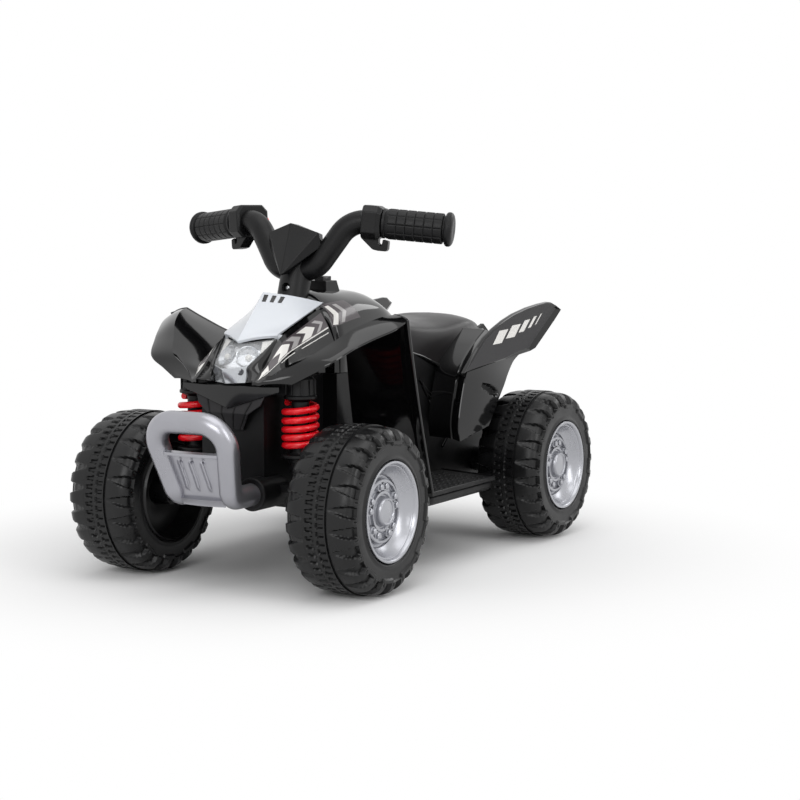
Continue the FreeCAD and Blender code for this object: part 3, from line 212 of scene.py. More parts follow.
def make(name, part, finish, body, nodes, sharp=35, bevel=0.0, rounds=2, wall=0.0, up=None):
    """Makes one piece from corners and faces in millimetres and puts it on its body.

    Edges that bend by more than sharp degrees stay hard. bevel and wall are in millimetres. up is where
    the outer faces of an open part look to.
    """
    corners, faces = part
    mesh = bpy.data.meshes.new(name)
    mesh.from_pydata([to_frame(p) for p in corners], [], faces)
    shape = bmesh.new()
    shape.from_mesh(mesh)
    bmesh.ops.remove_doubles(shape, verts=shape.verts, dist=WELD * MM)
    bmesh.ops.recalc_face_normals(shape, faces=shape.faces)
    if up and sum(face.normal.dot(up) * face.calc_area() for face in shape.faces) < 0:
        bmesh.ops.reverse_faces(shape, faces=shape.faces)
    for face in shape.faces:
        face.smooth = True
    shape.to_mesh(mesh)
    shape.free()
    mesh.set_sharp_from_angle(angle=math.radians(sharp))
    mesh.materials.append(FINISH[finish])
    obj = bpy.data.objects.new(name, mesh)
    bpy.context.scene.collection.objects.link(obj)
    if wall:
        thick = obj.modifiers.new("wall", "SOLIDIFY")
        thick.thickness = wall * MM
        thick.offset = -1
        thick.use_even_offset = True
    if bevel:
        edge = obj.modifiers.new("edge", "BEVEL")
        edge.width = bevel * MM
        edge.segments = rounds
        edge.limit_method = "ANGLE"
        edge.angle_limit = math.radians(sharp)
        edge.harden_normals = True
    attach(obj, body)
    if nodes:
        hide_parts(*nodes)


def linear(code):
    """Linear red, green and blue of an sRGB hex value."""
    found = []
    for i in (1, 3, 5):
        c = int(code[i:i + 2], 16) / 255
        found.append(c / 12.92 if c <= 0.04045 else ((c + 0.055) / 1.055) ** 2.4)
    return found


def add_node(tree, kind, settings=None, links=None):
    """Adds a node, sets its sockets and attributes, and links outputs into its sockets."""
    node = tree.nodes.new(kind)
    for key, value in (settings or {}).items():
        if key in node.inputs:
            node.inputs[key].default_value = value
        else:
            setattr(node, key, value)
    for key, source in (links or {}).items():
        tree.links.new(source, node.inputs[key])
    return node


SPECULAR = "Specular IOR Level"
# Most of a noise texture's values lie in this span
NOISE_SPAN = (0.3, 0.7)


def surface(name, code, rough, grain, cloud, **sockets):
    """Moulded or coated surface: its colour clouds slightly, its gloss breaks up, and a fine grain bumps it.

    rough is (roughness, its play), grain (size, depth) in mm, cloud (size in mm, play of the colour).
    """
    found = bpy.data.materials.new(name)
    found.use_nodes = True
    tree = found.node_tree
    tree.nodes.clear()
    place = add_node(tree, "ShaderNodeTexCoord").outputs["Object"]
    grains, clouds = [
        add_node(tree, "ShaderNodeTexNoise", {"Scale": 1 / (size * MM), "Detail": detail},
                 {"Vector": place}).outputs["Fac"]
        for size, detail in ((grain[0], 3.0), (cloud[0], 4.0))]
    base = linear(code)
    ramp = add_node(tree, "ShaderNodeValToRGB", links={"Fac": clouds})
    for stop, place_on_ramp, play in zip(ramp.color_ramp.elements, NOISE_SPAN, (-cloud[1], cloud[1])):
        stop.position = place_on_ramp
        stop.color = [min(c * (1 + play), 1.0) for c in base] + [1.0]
    gloss = add_node(tree, "ShaderNodeMapRange", {
        "From Min": NOISE_SPAN[0], "From Max": NOISE_SPAN[1],
        "To Min": rough[0] - rough[1], "To Max": rough[0] + rough[1]}, {"Value": clouds})
    bump = add_node(tree, "ShaderNodeBump", {"Strength": 1.0, "Distance": grain[1] * MM}, {"Height": grains})
    shader = add_node(tree, "ShaderNodeBsdfPrincipled", sockets, {
        "Base Color": ramp.outputs["Color"], "Roughness": gloss.outputs["Result"],
        "Normal": bump.outputs["Normal"]})
    add_node(tree, "ShaderNodeOutputMaterial", links={"Surface": shader.outputs["BSDF"]})
    return found


FINISH = {}


def make_finishes(colours):
    """Makes each finish; the comments say what the real material gives the eye."""
    # Polished ABS: deep black, mirror-like, with a faint ripple from the mould's cooling
    FINISH["gloss"] = surface(
        "ABS_gloss_black_moulded", colours.gloss_black,
        rough=(0.08, 0.03), grain=(14.0, 0.02), cloud=(60.0, 0.12), **{"IOR": 1.5, SPECULAR: 0.5})
    # Polypropylene from a sand-textured mould: satin black, fine grain
    FINISH["satin"] = surface(
        "polypropylene_satin_black_moulded", colours.satin_black,
        rough=(0.4, 0.06), grain=(0.7, 0.05), cloud=(35.0, 0.15), **{SPECULAR: 0.24})
    # The same for the seat: a shade paler and a little smoother
    FINISH["seat"] = surface(
        "polypropylene_seat_black_moulded", colours.seat_black,
        rough=(0.36, 0.05), grain=(0.7, 0.05), cloud=(35.0, 0.12), **{SPECULAR: 0.3})
    # The same in dark grey, a little finer
    FINISH["satin_grey"] = surface(
        "polypropylene_satin_grey_moulded", colours.satin_grey,
        rough=(0.38, 0.05), grain=(0.6, 0.04), cloud=(35.0, 0.1), **{SPECULAR: 0.26})
    # Polypropylene with a coarse leather-like mould texture, drawn coarser than real so that it shows
    FINISH["tread_plate"] = surface(
        "polypropylene_textured_black", colours.satin_black,
        rough=(0.5, 0.08), grain=(1.6, 0.25), cloud=(25.0, 0.18), **{SPECULAR: 0.24})
    # Blow-moulded polyethylene: dull black, softly uneven, slightly dusty
    FINISH["tyre"] = surface(
        "polyethylene_tyre_black_moulded", colours.tyre_black,
        rough=(0.34, 0.08), grain=(1.1, 0.05), cloud=(22.0, 0.2), **{SPECULAR: 0.36})
    # Soft PVC: dull black with a fine skin
    FINISH["grip"] = surface(
        "PVC_grip_black_moulded", colours.grip_black,
        rough=(0.44, 0.07), grain=(0.8, 0.05), cloud=(14.0, 0.15), **{SPECULAR: 0.24})
    # Silver lacquer with aluminium flake over ABS: bright, softly metallic, with a very fine grain
    FINISH["silver"] = surface(
        "silver_lacquer_on_ABS", colours.silver,
        rough=(0.28, 0.03), grain=(0.5, 0.002), cloud=(40.0, 0.02), Metallic=0.8)
    # The same in a slightly darker, duller coat
    FINISH["silver_dull"] = surface(
        "silver_dull_lacquer_on_ABS", colours.silver_dull,
        rough=(0.3, 0.03), grain=(0.6, 0.002), cloud=(40.0, 0.03), Metallic=0.85)
    # White ABS, polished: clean, slightly cool
    FINISH["white"] = surface(
        "ABS_gloss_white_moulded", colours.white,
        rough=(0.16, 0.03), grain=(12.0, 0.02), cloud=(50.0, 0.02), IOR=1.52)
    # Red polypropylene: saturated, glossy, slightly uneven
    FINISH["red"] = surface(
        "polypropylene_gloss_red_moulded", colours.red,
        rough=(0.24, 0.05), grain=(5.0, 0.03), cloud=(12.0, 0.08), IOR=1.5)
    # Vacuum-metallised ABS: near-mirror, faintly veiled
    FINISH["mirror"] = surface(
        "vacuum_metallised_ABS", "#c2c5c9",
        rough=(0.14, 0.04), grain=(4.0, 0.02), cloud=(10.0, 0.03), Metallic=0.75)
    # Zinc-plated steel: pale grey metal, softly mottled
    FINISH["zinc"] = surface(
        "zinc_plated_steel", "#b4b6b8",
        rough=(0.36, 0.08), grain=(0.6, 0.02), cloud=(6.0, 0.08), Metallic=1.0)
    # Black-phosphated steel: dark, dull metal
    FINISH["phosphate"] = surface(
        "phosphated_steel_black", "#4a4a4c",
        rough=(0.45, 0.08), grain=(0.6, 0.02), cloud=(6.0, 0.15), Metallic=1.0)
    # Natural nylon: cream, waxy
    FINISH["nylon"] = surface(
        "nylon_natural_moulded", "#d8d4c6",
        rough=(0.4, 0.05), grain=(2.0, 0.02), cloud=(15.0, 0.05), IOR=1.53)
    # Grey polypropylene of battery and gearbox: matt
    FINISH["case"] = surface(
        "polypropylene_grey_moulded", "#4a4c50",
        rough=(0.5, 0.06), grain=(0.9, 0.04), cloud=(20.0, 0.1), IOR=1.49)
    # Printed vinyl film under gloss lacquer: black, white and two greys
    FINISH["film_black"] = surface(
        "printed_vinyl_black", "#161617",
        rough=(0.2, 0.03), grain=(6.0, 0.01), cloud=(20.0, 0.1), IOR=1.5)
    FINISH["film_white"] = surface(
        "printed_vinyl_white", "#eceae6",
        rough=(0.18, 0.03), grain=(6.0, 0.01), cloud=(20.0, 0.02), IOR=1.5)
    FINISH["film_grey"] = surface(
        "printed_vinyl_warm_grey", "#4d474a",
        rough=(0.14, 0.03), grain=(6.0, 0.01), cloud=(20.0, 0.05), IOR=1.5)
    FINISH["film_pale"] = surface(
        "printed_vinyl_pale_grey", "#a9a6a6",
        rough=(0.16, 0.03), grain=(6.0, 0.01), cloud=(20.0, 0.04), IOR=1.5)
    # White polycarbonate: clean, warm white, polished
    FINISH["lamp"] = surface(
        "polycarbonate_white_moulded", "#eceae6",
        rough=(0.18, 0.03), grain=(6.0, 0.01), cloud=(20.0, 0.02), IOR=1.5)
    # Clear polycarbonate: colourless, polished, slightly wavy
    FINISH["clear"] = surface(
        "polycarbonate_clear_moulded", "#f6f8fa",
        rough=(0.05, 0.02), grain=(10.0, 0.02), cloud=(30.0, 0.01), **{"IOR": 1.58, "Alpha": 0.16})


class QuadColours(bpy.types.PropertyGroup):
    """Colours of the mouldings, as sRGB hex values."""
    gloss_black: bpy.props.StringProperty(
        name="Gloss black", description="Polished body panels", default="#09090a")
    satin_black: bpy.props.StringProperty(
        name="Satin black", description="Tray, bar, shocks and boards", default="#0f0f10")
    seat_black: bpy.props.StringProperty(
        name="Seat black", description="Moulded seat", default="#1b191a")
    satin_grey: bpy.props.StringProperty(
        name="Satin grey", description="Faces of the wings, grille plate and rocker", default="#262527")
    tyre_black: bpy.props.StringProperty(
        name="Tyre black", description="Moulded tyres", default="#0d0d0e")
    grip_black: bpy.props.StringProperty(
        name="Grip black", description="Soft grips", default="#121213")
    silver: bpy.props.StringProperty(
        name="Silver", description="Rims", default="#aeafb4")
    silver_dull: bpy.props.StringProperty(
        name="Dull silver", description="Bumper", default="#a6a6ac")
    white: bpy.props.StringProperty(
        name="White", description="Nose panel", default="#d6dae0")
    red: bpy.props.StringProperty(
        name="Red", description="Springs", default="#e8101f")


class QuadSizes(bpy.types.PropertyGroup):
    """Sizes of the pieces that a user would change."""
    tyre_radius: bpy.props.FloatProperty(
        name="Tyre radius", description="Over the tread", default=0.09, unit="LENGTH")
    tyre_half: bpy.props.FloatProperty(
        name="Tyre half width", description="From the middle to the sidewall", default=0.042, unit="LENGTH")
    tread_blocks: bpy.props.IntProperty(
        name="Tread blocks", description="Small blocks round each row", default=60)
    lugs: bpy.props.IntProperty(
        name="Shoulder lugs", description="Recesses round each shoulder", default=24)
    lug_depth: bpy.props.FloatProperty(
        name="Lug depth", description="Depth of the recesses", default=0.0042, unit="LENGTH")
    bar_radius: bpy.props.FloatProperty(
        name="Bar radius", description="Handlebar tube", default=0.013, unit="LENGTH")
    grip_radius: bpy.props.FloatProperty(
        name="Grip radius", description="Over the pads", default=0.017, unit="LENGTH")
    bumper_radius: bpy.props.FloatProperty(
        name="Bumper tube radius", description="Front bumper tube", default=0.012, unit="LENGTH")
    spring_radius: bpy.props.FloatProperty(
        name="Spring radius", description="To the middle of the wire", default=0.0168, unit="LENGTH")
    spring_wire: bpy.props.FloatProperty(
        name="Spring wire radius", description="Dummy spring wire", default=0.0036, unit="LENGTH")
    spring_turns: bpy.props.FloatProperty(
        name="Spring turns", description="Turns of each spring", default=5.5)


class QUAD_OT_finishes(bpy.types.Operator):
    """Make the finishes that the pieces share."""
    bl_idname = "quad.finishes"
    bl_label = "Finishes"

    def execute(self, context):
        make_finishes(context.scene.quad_colours)
        return {"FINISHED"}


# Places of the wheels: from the middle, and from the front axle to the rear
TRACK_HALF = 140.8
WHEELBASE = 423.0
WHEELS = (("front_left", 1, 0.0), ("front_right", -1, 0.0),
          ("rear_left", 1, WHEELBASE), ("rear_right", -1, WHEELBASE))
# Steps round the tyre, fine enough for its smallest blocks, and rows over the band in the middle of its tread
TYRE_STEPS = 480
BAND_STEPS = 22
# Depth of the band's grooves, of the short cuts beside it and of the step in the sidewall
BAND_DEPTH = 2.3
TICK_DEPTH = 1.4
WALL_DEPTH = 2.0
# Lug bolts: pairs, lean of each bolt from its pair's middle in degrees, radius of their circle
BOLT_PAIRS = 5
BOLT_LEAN = 11
BOLT_CIRCLE = 26.5


def gate(value, low, high, edge):
    """1 between low and high, 0 outside them, with soft edges of that half width."""
    return smooth(low - edge, low + edge, value) * (1 - smooth(high - edge, high + edge, value))


def tyre_profile(half, radius):
    """Rows from the outer bead over the tread to the hub: (x, radius, zone, share of the zone)."""
    rim_edge = radius - 36
    wall = flow([(half - 3.4, rim_edge), (half - 1.6, rim_edge + 1.6), (half - 0.4, rim_edge + 5.5),
                 (half, rim_edge + 11), (half, radius - 19), (half - 0.3, radius - 15)], 3)
    side = flow([(half - 0.3, radius - 15), (half - 1.1, radius - 11.8), (half - 2.8, radius - 8.4),
                 (half - 5.6, radius - 5.4), (half - 9.8, radius - 3.1), (half - 15, radius - 2),
                 (half - 22, radius - 1.6), (half - 27, radius - 1.5)], 4)
    rows = [(x, r, "wall", 0.0) for x, r in wall[:-1]]
    rows += [(x, r, "side", 1 - i / (len(side) - 1)) for i, (x, r) in enumerate(side)]
    band = half - 27.8
    rows += [(band - 2 * band * i / BAND_STEPS, radius, "band", 0.0) for i in range(BAND_STEPS + 1)]
    rows += [(-x, r, zone, share) for x, r, zone, share in reversed(rows[:-BAND_STEPS - 1])]
    hub = [(-half, radius - 38), (-18, radius - 42), (-16, radius - 45), (-16, 16), (-17, 14), (-40, 13.4),
           (-40, 6)]
    return rows + [(x, r, "hub", 0.0) for x, r in hub]


def tread_depth(sizes, x, r, zone, share, angle):
    """Depth of the moulded pattern at a place of the tyre; the two halves are half a step apart."""
    offset = 0.0 if x > 0 else 0.5
    if zone == "band":
        # Rows of blocks with links between them, and a groove along each edge of the band
        block = (angle / TURN * sizes.tread_blocks + offset) % 1
        gap = gate(block, 0.31, 0.69, 0.02) * gate(abs(x), 3.0, 11.4, 0.3)
        link = gate(abs(x), 2.0, 4.2, 0.3)
        link *= (1 - gate(block, -0.1, 0.19, 0.02)) * (1 - gate(block, 0.81, 1.1, 0.02))
        return BAND_DEPTH * max(gap, link, gate(abs(x), 13.2, 14.6, 0.2))
    if zone == "side":
        # Leaf-shaped recesses between the lugs, and short cuts at the top of each lug
        lug = (angle / TURN * sizes.lugs + offset) % 1
        off = (lug - 0.5) * TURN * r / sizes.lugs
        half = 5.6 * math.sin(math.pi * (0.04 + 0.62 * share))
        leaf = 1 - smooth(half - 0.6, half + 0.9, abs(off - 2.0 * (share - 0.5)))
        leaf *= smooth(0.0, 0.12, share)
        tick = gate(share, 0.86, 1.1, 0.02) * gate(abs(off) % 3.9, 1.3, 2.6, 0.3) * smooth(6.4, 7.0, abs(off))
        return max(leaf * sizes.lug_depth / MM * smooth(0.0, 0.35, share), leaf * 1.6, tick * TICK_DEPTH)
    if zone == "wall":
        # Sunken ring whose edge steps up and down with the lugs
        step = 2.6 if math.sin(angle * sizes.lugs / 2) > 0 else -1.0
        return WALL_DEPTH * gate(r, 58.0, 71.0 + step, 0.5)
    return 0.0


def tyre_part(sizes):
    """Tyre with its pattern pressed into it square to the profile."""
    rows = []
    profile = tyre_profile(sizes.tyre_half / MM, sizes.tyre_radius / MM)
    for i, (x, r, zone, share) in enumerate(profile):
        before = profile[max(i - 1, 0)]
        after = profile[min(i + 1, len(profile) - 1)]
        along = Vector((after[0] - before[0], after[1] - before[1])).normalized()
        out = Vector((along.y, -along.x))
        row = []
        for k in range(TYRE_STEPS):
            angle = TURN * k / TYRE_STEPS
            depth = tread_depth(sizes, x, r, zone, share, angle)
            px = x - out.x * depth
            pr = r - out.y * depth
            row.append((px, pr * math.cos(angle), pr * math.sin(angle)))
        rows.append(row)
    return net(rows, closed=True)


def rim_part():
    """Silver rim: rounded lip, stepped barrel, dish with a raised ring, lug bolts in pairs."""
    profile = flow([(33.0, 52.6), (40.4, 53.5), (41.5, 52.6), (41.3, 51.0), (39.4, 49.8)], 4)
    profile += [(37.8, 49.2), (37.4, 48.2), (36.4, 47.8)]
    profile += flow([(36.2, 47.6), (32.6, 45.4), (29.4, 43.0), (27.0, 40.6), (25.4, 38.6)], 3)
    profile += [(22.4, 38.0), (22.0, 37.2), (22.0, 35.4), (22.4, 34.6), (28.4, 34.0), (29.2, 33.2),
                (29.2, 30.8), (26.0, 30.2), (25.6, 29.6), (25.6, 22.4), (26.0, 21.8), (29.2, 21.2),
                (29.4, 18.6), (28.6, 18.0), (27.4, 17.4), (27.4, 16.4), (29.4, 15.6), (29.6, 14.0)]
    parts = [turned(profile, (0, 0, 0), (1, 0, 0), 96)]
    washer = [(25.4, 5.0), (28.6, 4.9), (28.9, 4.4), (28.9, 0.0)]
    head = [(28.6, 3.6), (31.2, 3.6), (32.0, 2.8), (32.2, 0.0)]
    for i in range(BOLT_PAIRS):
        for lean in (-BOLT_LEAN, BOLT_LEAN):
            angle = math.radians(360 / BOLT_PAIRS * i + lean)
            place = (0, BOLT_CIRCLE * math.sin(angle), BOLT_CIRCLE * math.cos(angle))
            parts.append(turned(washer, place, (1, 0, 0), 20))
            parts.append(turned(head, place, (1, 0, 0), 6))
    return joined(*parts)


def cap_part():
    """Hub cap: bright ring round a flat, slightly sunken disc."""
    profile = [(20.4, 14.6), (29.4, 15.6), (31.8, 15.4), (34.0, 14.6), (35.0, 13.8), (35.3, 12.9),
               (34.9, 12.2), (34.1, 11.8), (34.0, 11.2), (34.3, 10.2), (34.5, 0.0)]
    return turned(profile, (0, 0, 0), (1, 0, 0), 72)


class QUAD_OT_wheels(bpy.types.Operator):
    """Build the treaded tyres, the rims and the hub caps."""
    bl_idname = "quad.wheels"
    bl_label = "Wheels"

    def execute(self, context):
        sizes = context.scene.quad_sizes
        for name, part, finish, slot, sharp in (
                ("tyre", tyre_part(sizes), "tyre", "moulded_tyre", 40),
                ("rim", rim_part(), "silver", "silver_rim", 30),
                ("hub_cap", cap_part(), "silver", "silver_rim", 30)):
            for place, side, y in WHEELS:
                placed = shift(on_side(part, side), (side * TRACK_HALF, y, sizes.tyre_radius / MM))
                make(f"dressed_{name}_{place}", placed, finish, "wheel_" + place, [f"{name}_{place}"],
                     sharp=sharp)
        return {"FINISHED"}


# Front fender, from front to rear, in shares of its box: places of the inner and the outer edge along Y,
# height of the inner edge, then reach and height of the valley, the crease and the outer edge
FENDER_X = (36.5, 154.0)
FENDER_Y = (-46.0, 90.0)
FENDER_Z = (222.0, 292.0)
FENDER_ROWS = (
    (0.015, 0.131, 0.000, 0.040, 0.000, 0.080, 0.014, 0.332, 0.021),
    (0.105, 0.172, 0.130, 0.090, 0.062, 0.235, 0.185, 0.500, 0.170),
    (0.200, 0.218, 0.260, 0.149, 0.170, 0.420, 0.359, 0.670, 0.325),
    (0.375, 0.393, 0.590, 0.150, 0.250, 0.560, 0.583, 0.785, 0.524),
    (0.570, 0.555, 0.745, 0.155, 0.325, 0.690, 0.795, 0.880, 0.662),
    (0.800, 0.750, 0.900, 0.165, 0.415, 0.800, 0.935, 0.983, 0.795),
    (0.985, 0.917, 1.020, 0.180, 0.490, 0.864, 0.978, 1.000, 0.910),
)
# Cells across the strip beside the nose, and steps down the leg shield
STRIP_CELLS = 8
SHIELD_STEPS = 12
# Leg shield: its inner and outer side, and the line on the foot board where it ends
SHIELD_X = (58.6, 150.0)
SHIELD_FOOT_Y = 141.0
SHIELD_FOOT_Z = 89.6
# Thickness of the fender's sheet
SHEET = 3.0


def fender_lines():
    """Inner edge, valley, crease and outer edge of the left fender, each as a smooth run of points."""
    lines = ([], [], [], [])
    for row in FENDER_ROWS:
        for line, reach, rise in zip(lines, (0, *row[3::2]), (row[2], *row[4::2])):
            run = spread(row[0], row[1], reach / row[7])
            line.append((spread(*FENDER_X, reach), spread(*FENDER_Y, run), spread(*FENDER_Z, rise)))
    return [flow(line, 6) for line in lines]


def fender_net():
    """Rows across the fender: strip down to the valley, wall up to the crease, band down to the edge."""
    rows = []
    for inner, valley, crease, outer in zip(*[[Vector(p) for p in line] for line in fender_lines()]):
        row = []
        for start, end, count, bulge in (
                (inner, valley, STRIP_CELLS, 1.6), (valley, crease, 8, -1.8), (crease, outer, 6, 1.0)):
            side = (end - start).cross(Vector((0, 1, 0)))
            side = (side if side.z > 0 else -side).normalized()
            reach = min((end - start).length / 12, 1.0)
            for k in range(count + 1):
                share = spread(0.06, 0.94, k / count) if 0 < k < count else k / count
                row.append(start.lerp(end, share) + side * bulge * reach * math.sin(math.pi * share))
        rows.append(row)
    return rows


def fender_part():
    """Front fender as a moulded sheet with rolled edges, and the leg shield that closes it behind."""
    rings = []
    rows = fender_net()
    for row in rows:
        inner, outer = row[0], row[-1]
        roll = [outer + Vector(step) for step in ((0.9, 0, -0.7), (1.1, 0, -1.9), (0.4, 0, -SHEET))]
        under = [p - Vector((0, 0, SHEET)) for p in reversed(row)]
        rings.append([tuple(p) for p in row + roll + under + [inner + Vector((-0.6, 0, -1.5))]])
    brim = [p for p in rows[-1] if p.x > SHIELD_X[0]]
    shield = []
    for i in range(SHIELD_STEPS + 1):
        share = i / SHIELD_STEPS
        sag = 3.0 * math.sin(math.pi * share)
        hollow = []
        for p in brim:
            across = (p.x - brim[0].x) / (brim[-1].x - brim[0].x)
            foot = Vector((spread(*SHIELD_X, across), SHIELD_FOOT_Y, SHIELD_FOOT_Z))
            rise = 2.2 * math.sin(math.pi * across) * (1 - share)
            frame_edge = 2.4 * gate(across, 0.90, 1.2, 0.02) * (1 - share * 0.4)
            hollow.append(p.lerp(foot, share) + Vector((0, rise - sag - frame_edge, -0.9 * (1 - share))))
        edge = [hollow[-1] + Vector(step)
                for step in ((0.9, -1.4, 0), (1.6, 0, 0), (1.5, 2.2, 0), (0.6, 3.6, 0))]
        back = [p + Vector((0, 3.4, 0)) for p in reversed(hollow)]
        shield.append([tuple(p) for p in hollow + edge + back])
    outer_edge = [Vector(row[len(brim) + 1]) for row in shield]
    rolled = tube([p - Vector((0, -0.6, 1.2)) for p in brim] + outer_edge, 1.9, 12)
    return joined(capped(rings), capped(shield), rolled)


# Cells of a film from its first to its second corner
FILM_CELLS = 6


def draped(rows, outline, lift, cells=12):
    """Thin printed film on a net of rows: four corners, each as (share along the rows, share across them)."""
    def spot(along, across):
        i = min(max(along, 0.0), 1.0) * (len(rows) - 1)
        k = min(max(across, 0.0), 1.0) * (len(rows[0]) - 1)
        i0 = min(int(i), len(rows) - 2)
        k0 = min(int(k), len(rows[0]) - 2)
        low = [Vector(p) for p in rows[i0][k0:k0 + 2]]
        high = [Vector(p) for p in rows[i0 + 1][k0:k0 + 2]]
        normal = (high[0] - low[0]).cross(low[1] - low[0]).normalized()
        normal = normal if normal.x + normal.z > 0 else -normal
        return tuple(low[0].lerp(low[1], k - k0).lerp(high[0].lerp(high[1], k - k0), i - i0) + normal * lift)
    a, b, c, d = outline
    found = []
    for i in range(cells + 1):
        s = i / cells
        start = (spread(a[0], d[0], s), spread(a[1], d[1], s))
        end = (spread(b[0], c[0], s), spread(b[1], c[1], s))
        shares = [t / FILM_CELLS for t in range(FILM_CELLS + 1)]
        found.append([spot(spread(start[0], end[0], t), spread(start[1], end[1], t)) for t in shares])
    return net(found)


# Printed films: finish, lift off the panel in millimetres and four corners. On the strip they run from the
# nose to the rear and from the nose panel down to the valley, on the tank from front to rear and upwards
STRIP_FILMS = (
    ("film_grey", 0.20, ((0.22, 0.16), (0.14, 0.70), (0.99, 0.58), (0.99, 0.08))),
    ("film_white", 0.34, ((0.145, 0.66), (0.14, 0.70), (0.985, 0.58), (0.985, 0.54))),
    ("film_white", 0.34, ((0.17, 0.24), (0.05, 0.68), (0.24, 0.62), (0.32, 0.20))),
    ("film_black", 0.48, ((0.11, 0.58), (0.10, 0.62), (0.22, 0.59), (0.23, 0.55))),
    ("film_white", 0.34, ((0.38, 0.20), (0.45, 0.38), (0.57, 0.37), (0.50, 0.19))),
    ("film_white", 0.34, ((0.45, 0.38), (0.38, 0.60), (0.50, 0.59), (0.57, 0.37))),
    ("film_pale", 0.34, ((0.55, 0.18), (0.62, 0.37), (0.70, 0.36), (0.63, 0.17))),
    ("film_pale", 0.34, ((0.62, 0.37), (0.55, 0.58), (0.63, 0.57), (0.70, 0.36))),
    ("film_white", 0.34, ((0.68, 0.17), (0.75, 0.35), (0.85, 0.34), (0.78, 0.16))),
    ("film_white", 0.34, ((0.75, 0.35), (0.68, 0.56), (0.78, 0.55), (0.85, 0.34))),
    ("film_pale", 0.34, ((0.84, 0.16), (0.91, 0.34), (0.95, 0.33), (0.88, 0.15))),
    ("film_pale", 0.34, ((0.91, 0.34), (0.84, 0.54), (0.88, 0.53), (0.95, 0.33))),
    ("film_white", 0.34, ((0.40, 0.76), (0.40, 0.79), (0.58, 0.77), (0.58, 0.74))),
    ("film_white", 0.34, ((0.66, 0.73), (0.66, 0.76), (0.96, 0.72), (0.96, 0.69))),
)
TANK_FILMS = (
    ("film_grey", 0.22, ((0.45, 0.36), (0.45, 0.66), (0.62, 0.66), (0.66, 0.40))),
    ("film_white", 0.34, ((0.46, 0.38), (0.49, 0.50), (0.53, 0.50), (0.50, 0.38))),
    ("film_white", 0.34, ((0.49, 0.50), (0.46, 0.63), (0.50, 0.63), (0.53, 0.50))),
    ("film_pale", 0.34, ((0.53, 0.39), (0.56, 0.51), (0.585, 0.51), (0.555, 0.39))),
    ("film_pale", 0.34, ((0.56, 0.51), (0.53, 0.63), (0.555, 0.63), (0.585, 0.51))),
)


class QUAD_OT_front_fenders(bpy.types.Operator):
    """Build the front fenders with their leg shields and the printed strips."""
    bl_idname = "quad.front_fenders"
    bl_label = "Front fenders"

    def execute(self, context):
        whole = fender_part()
        strip = [row[:STRIP_CELLS + 1] for row in fender_net()]
        flank = [row[:len(row) // 2 + 1] for row in cowl_rows()]
        for name, side in SIDES:
            make("dressed_front_fender_" + name, on_side(whole, side), "gloss", "chassis",
                 ["front_fender_" + name], sharp=32)
            for finish in ("film_grey", "film_white", "film_pale", "film_black"):
                films = [draped(rows, outline, lift)
                         for rows, table in ((strip, STRIP_FILMS), (flank, TANK_FILMS))
                         for kind, lift, outline in table if kind == finish]
                make(f"strip_{finish}_{name}", on_side(joined(*films), side), finish, "chassis", (),
                     up=(side, 0, 1))
        return {"FINISHED"}


# Cowl: place along Y, half width below, height of that edge, half width above, its height, crown and its
# fullness; widths are shares of COWL_HALF, heights of COWL_Z
COWL_HALF = 57.5
COWL_Z = (222.0, 314.0)
COWL_FOOT_Z = 222.5
COWL_ROWS = (
    (-8.0, 0.52, 0.141, 0.500, 0.261, 0.337, 0.50),
    (32.3, 0.59, 0.250, 0.574, 0.500, 0.860, 0.50),
    (87.0, 0.61, 0.435, 0.590, 0.717, 0.965, 0.55),
    (102.0, 1.00, 0.435, 0.730, 0.783, 1.000, 0.74),
    (151.5, 1.00, 0.478, 0.780, 0.815, 0.978, 0.78),
    (207.0, 1.00, 0.391, 0.780, 0.761, 0.935, 0.78),
    (245.5, 0.90, 0.261, 0.700, 0.598, 0.717, 0.78),
)


def cowl_rows():
    """Rows across the cowl, from its left edge over the crown to the right one."""
    rows = []
    for y, low_half, edge, high_half, shoulder, crown, full in flow(COWL_ROWS, 5):
        a = COWL_HALF * min(low_half, 1.0)
        b = COWL_HALF * high_half
        z_edge, z_shoulder, z_crown = [spread(*COWL_Z, share) for share in (edge, shoulder, crown)]
        half = flow([(a, COWL_FOOT_Z), (a, spread(COWL_FOOT_Z, z_edge, 0.8)),
                     (spread(a, b, 0.35), spread(z_edge, z_shoulder, 0.5)), (b, z_shoulder),
                     (0.5 * b, spread(z_shoulder, z_crown, full)), (0.0, z_crown)], 4)
        row = [(x, y, z) for x, z in half]
        rows.append(row + [(-x, y, z) for x, y, z in reversed(row[:-1])])
    return rows


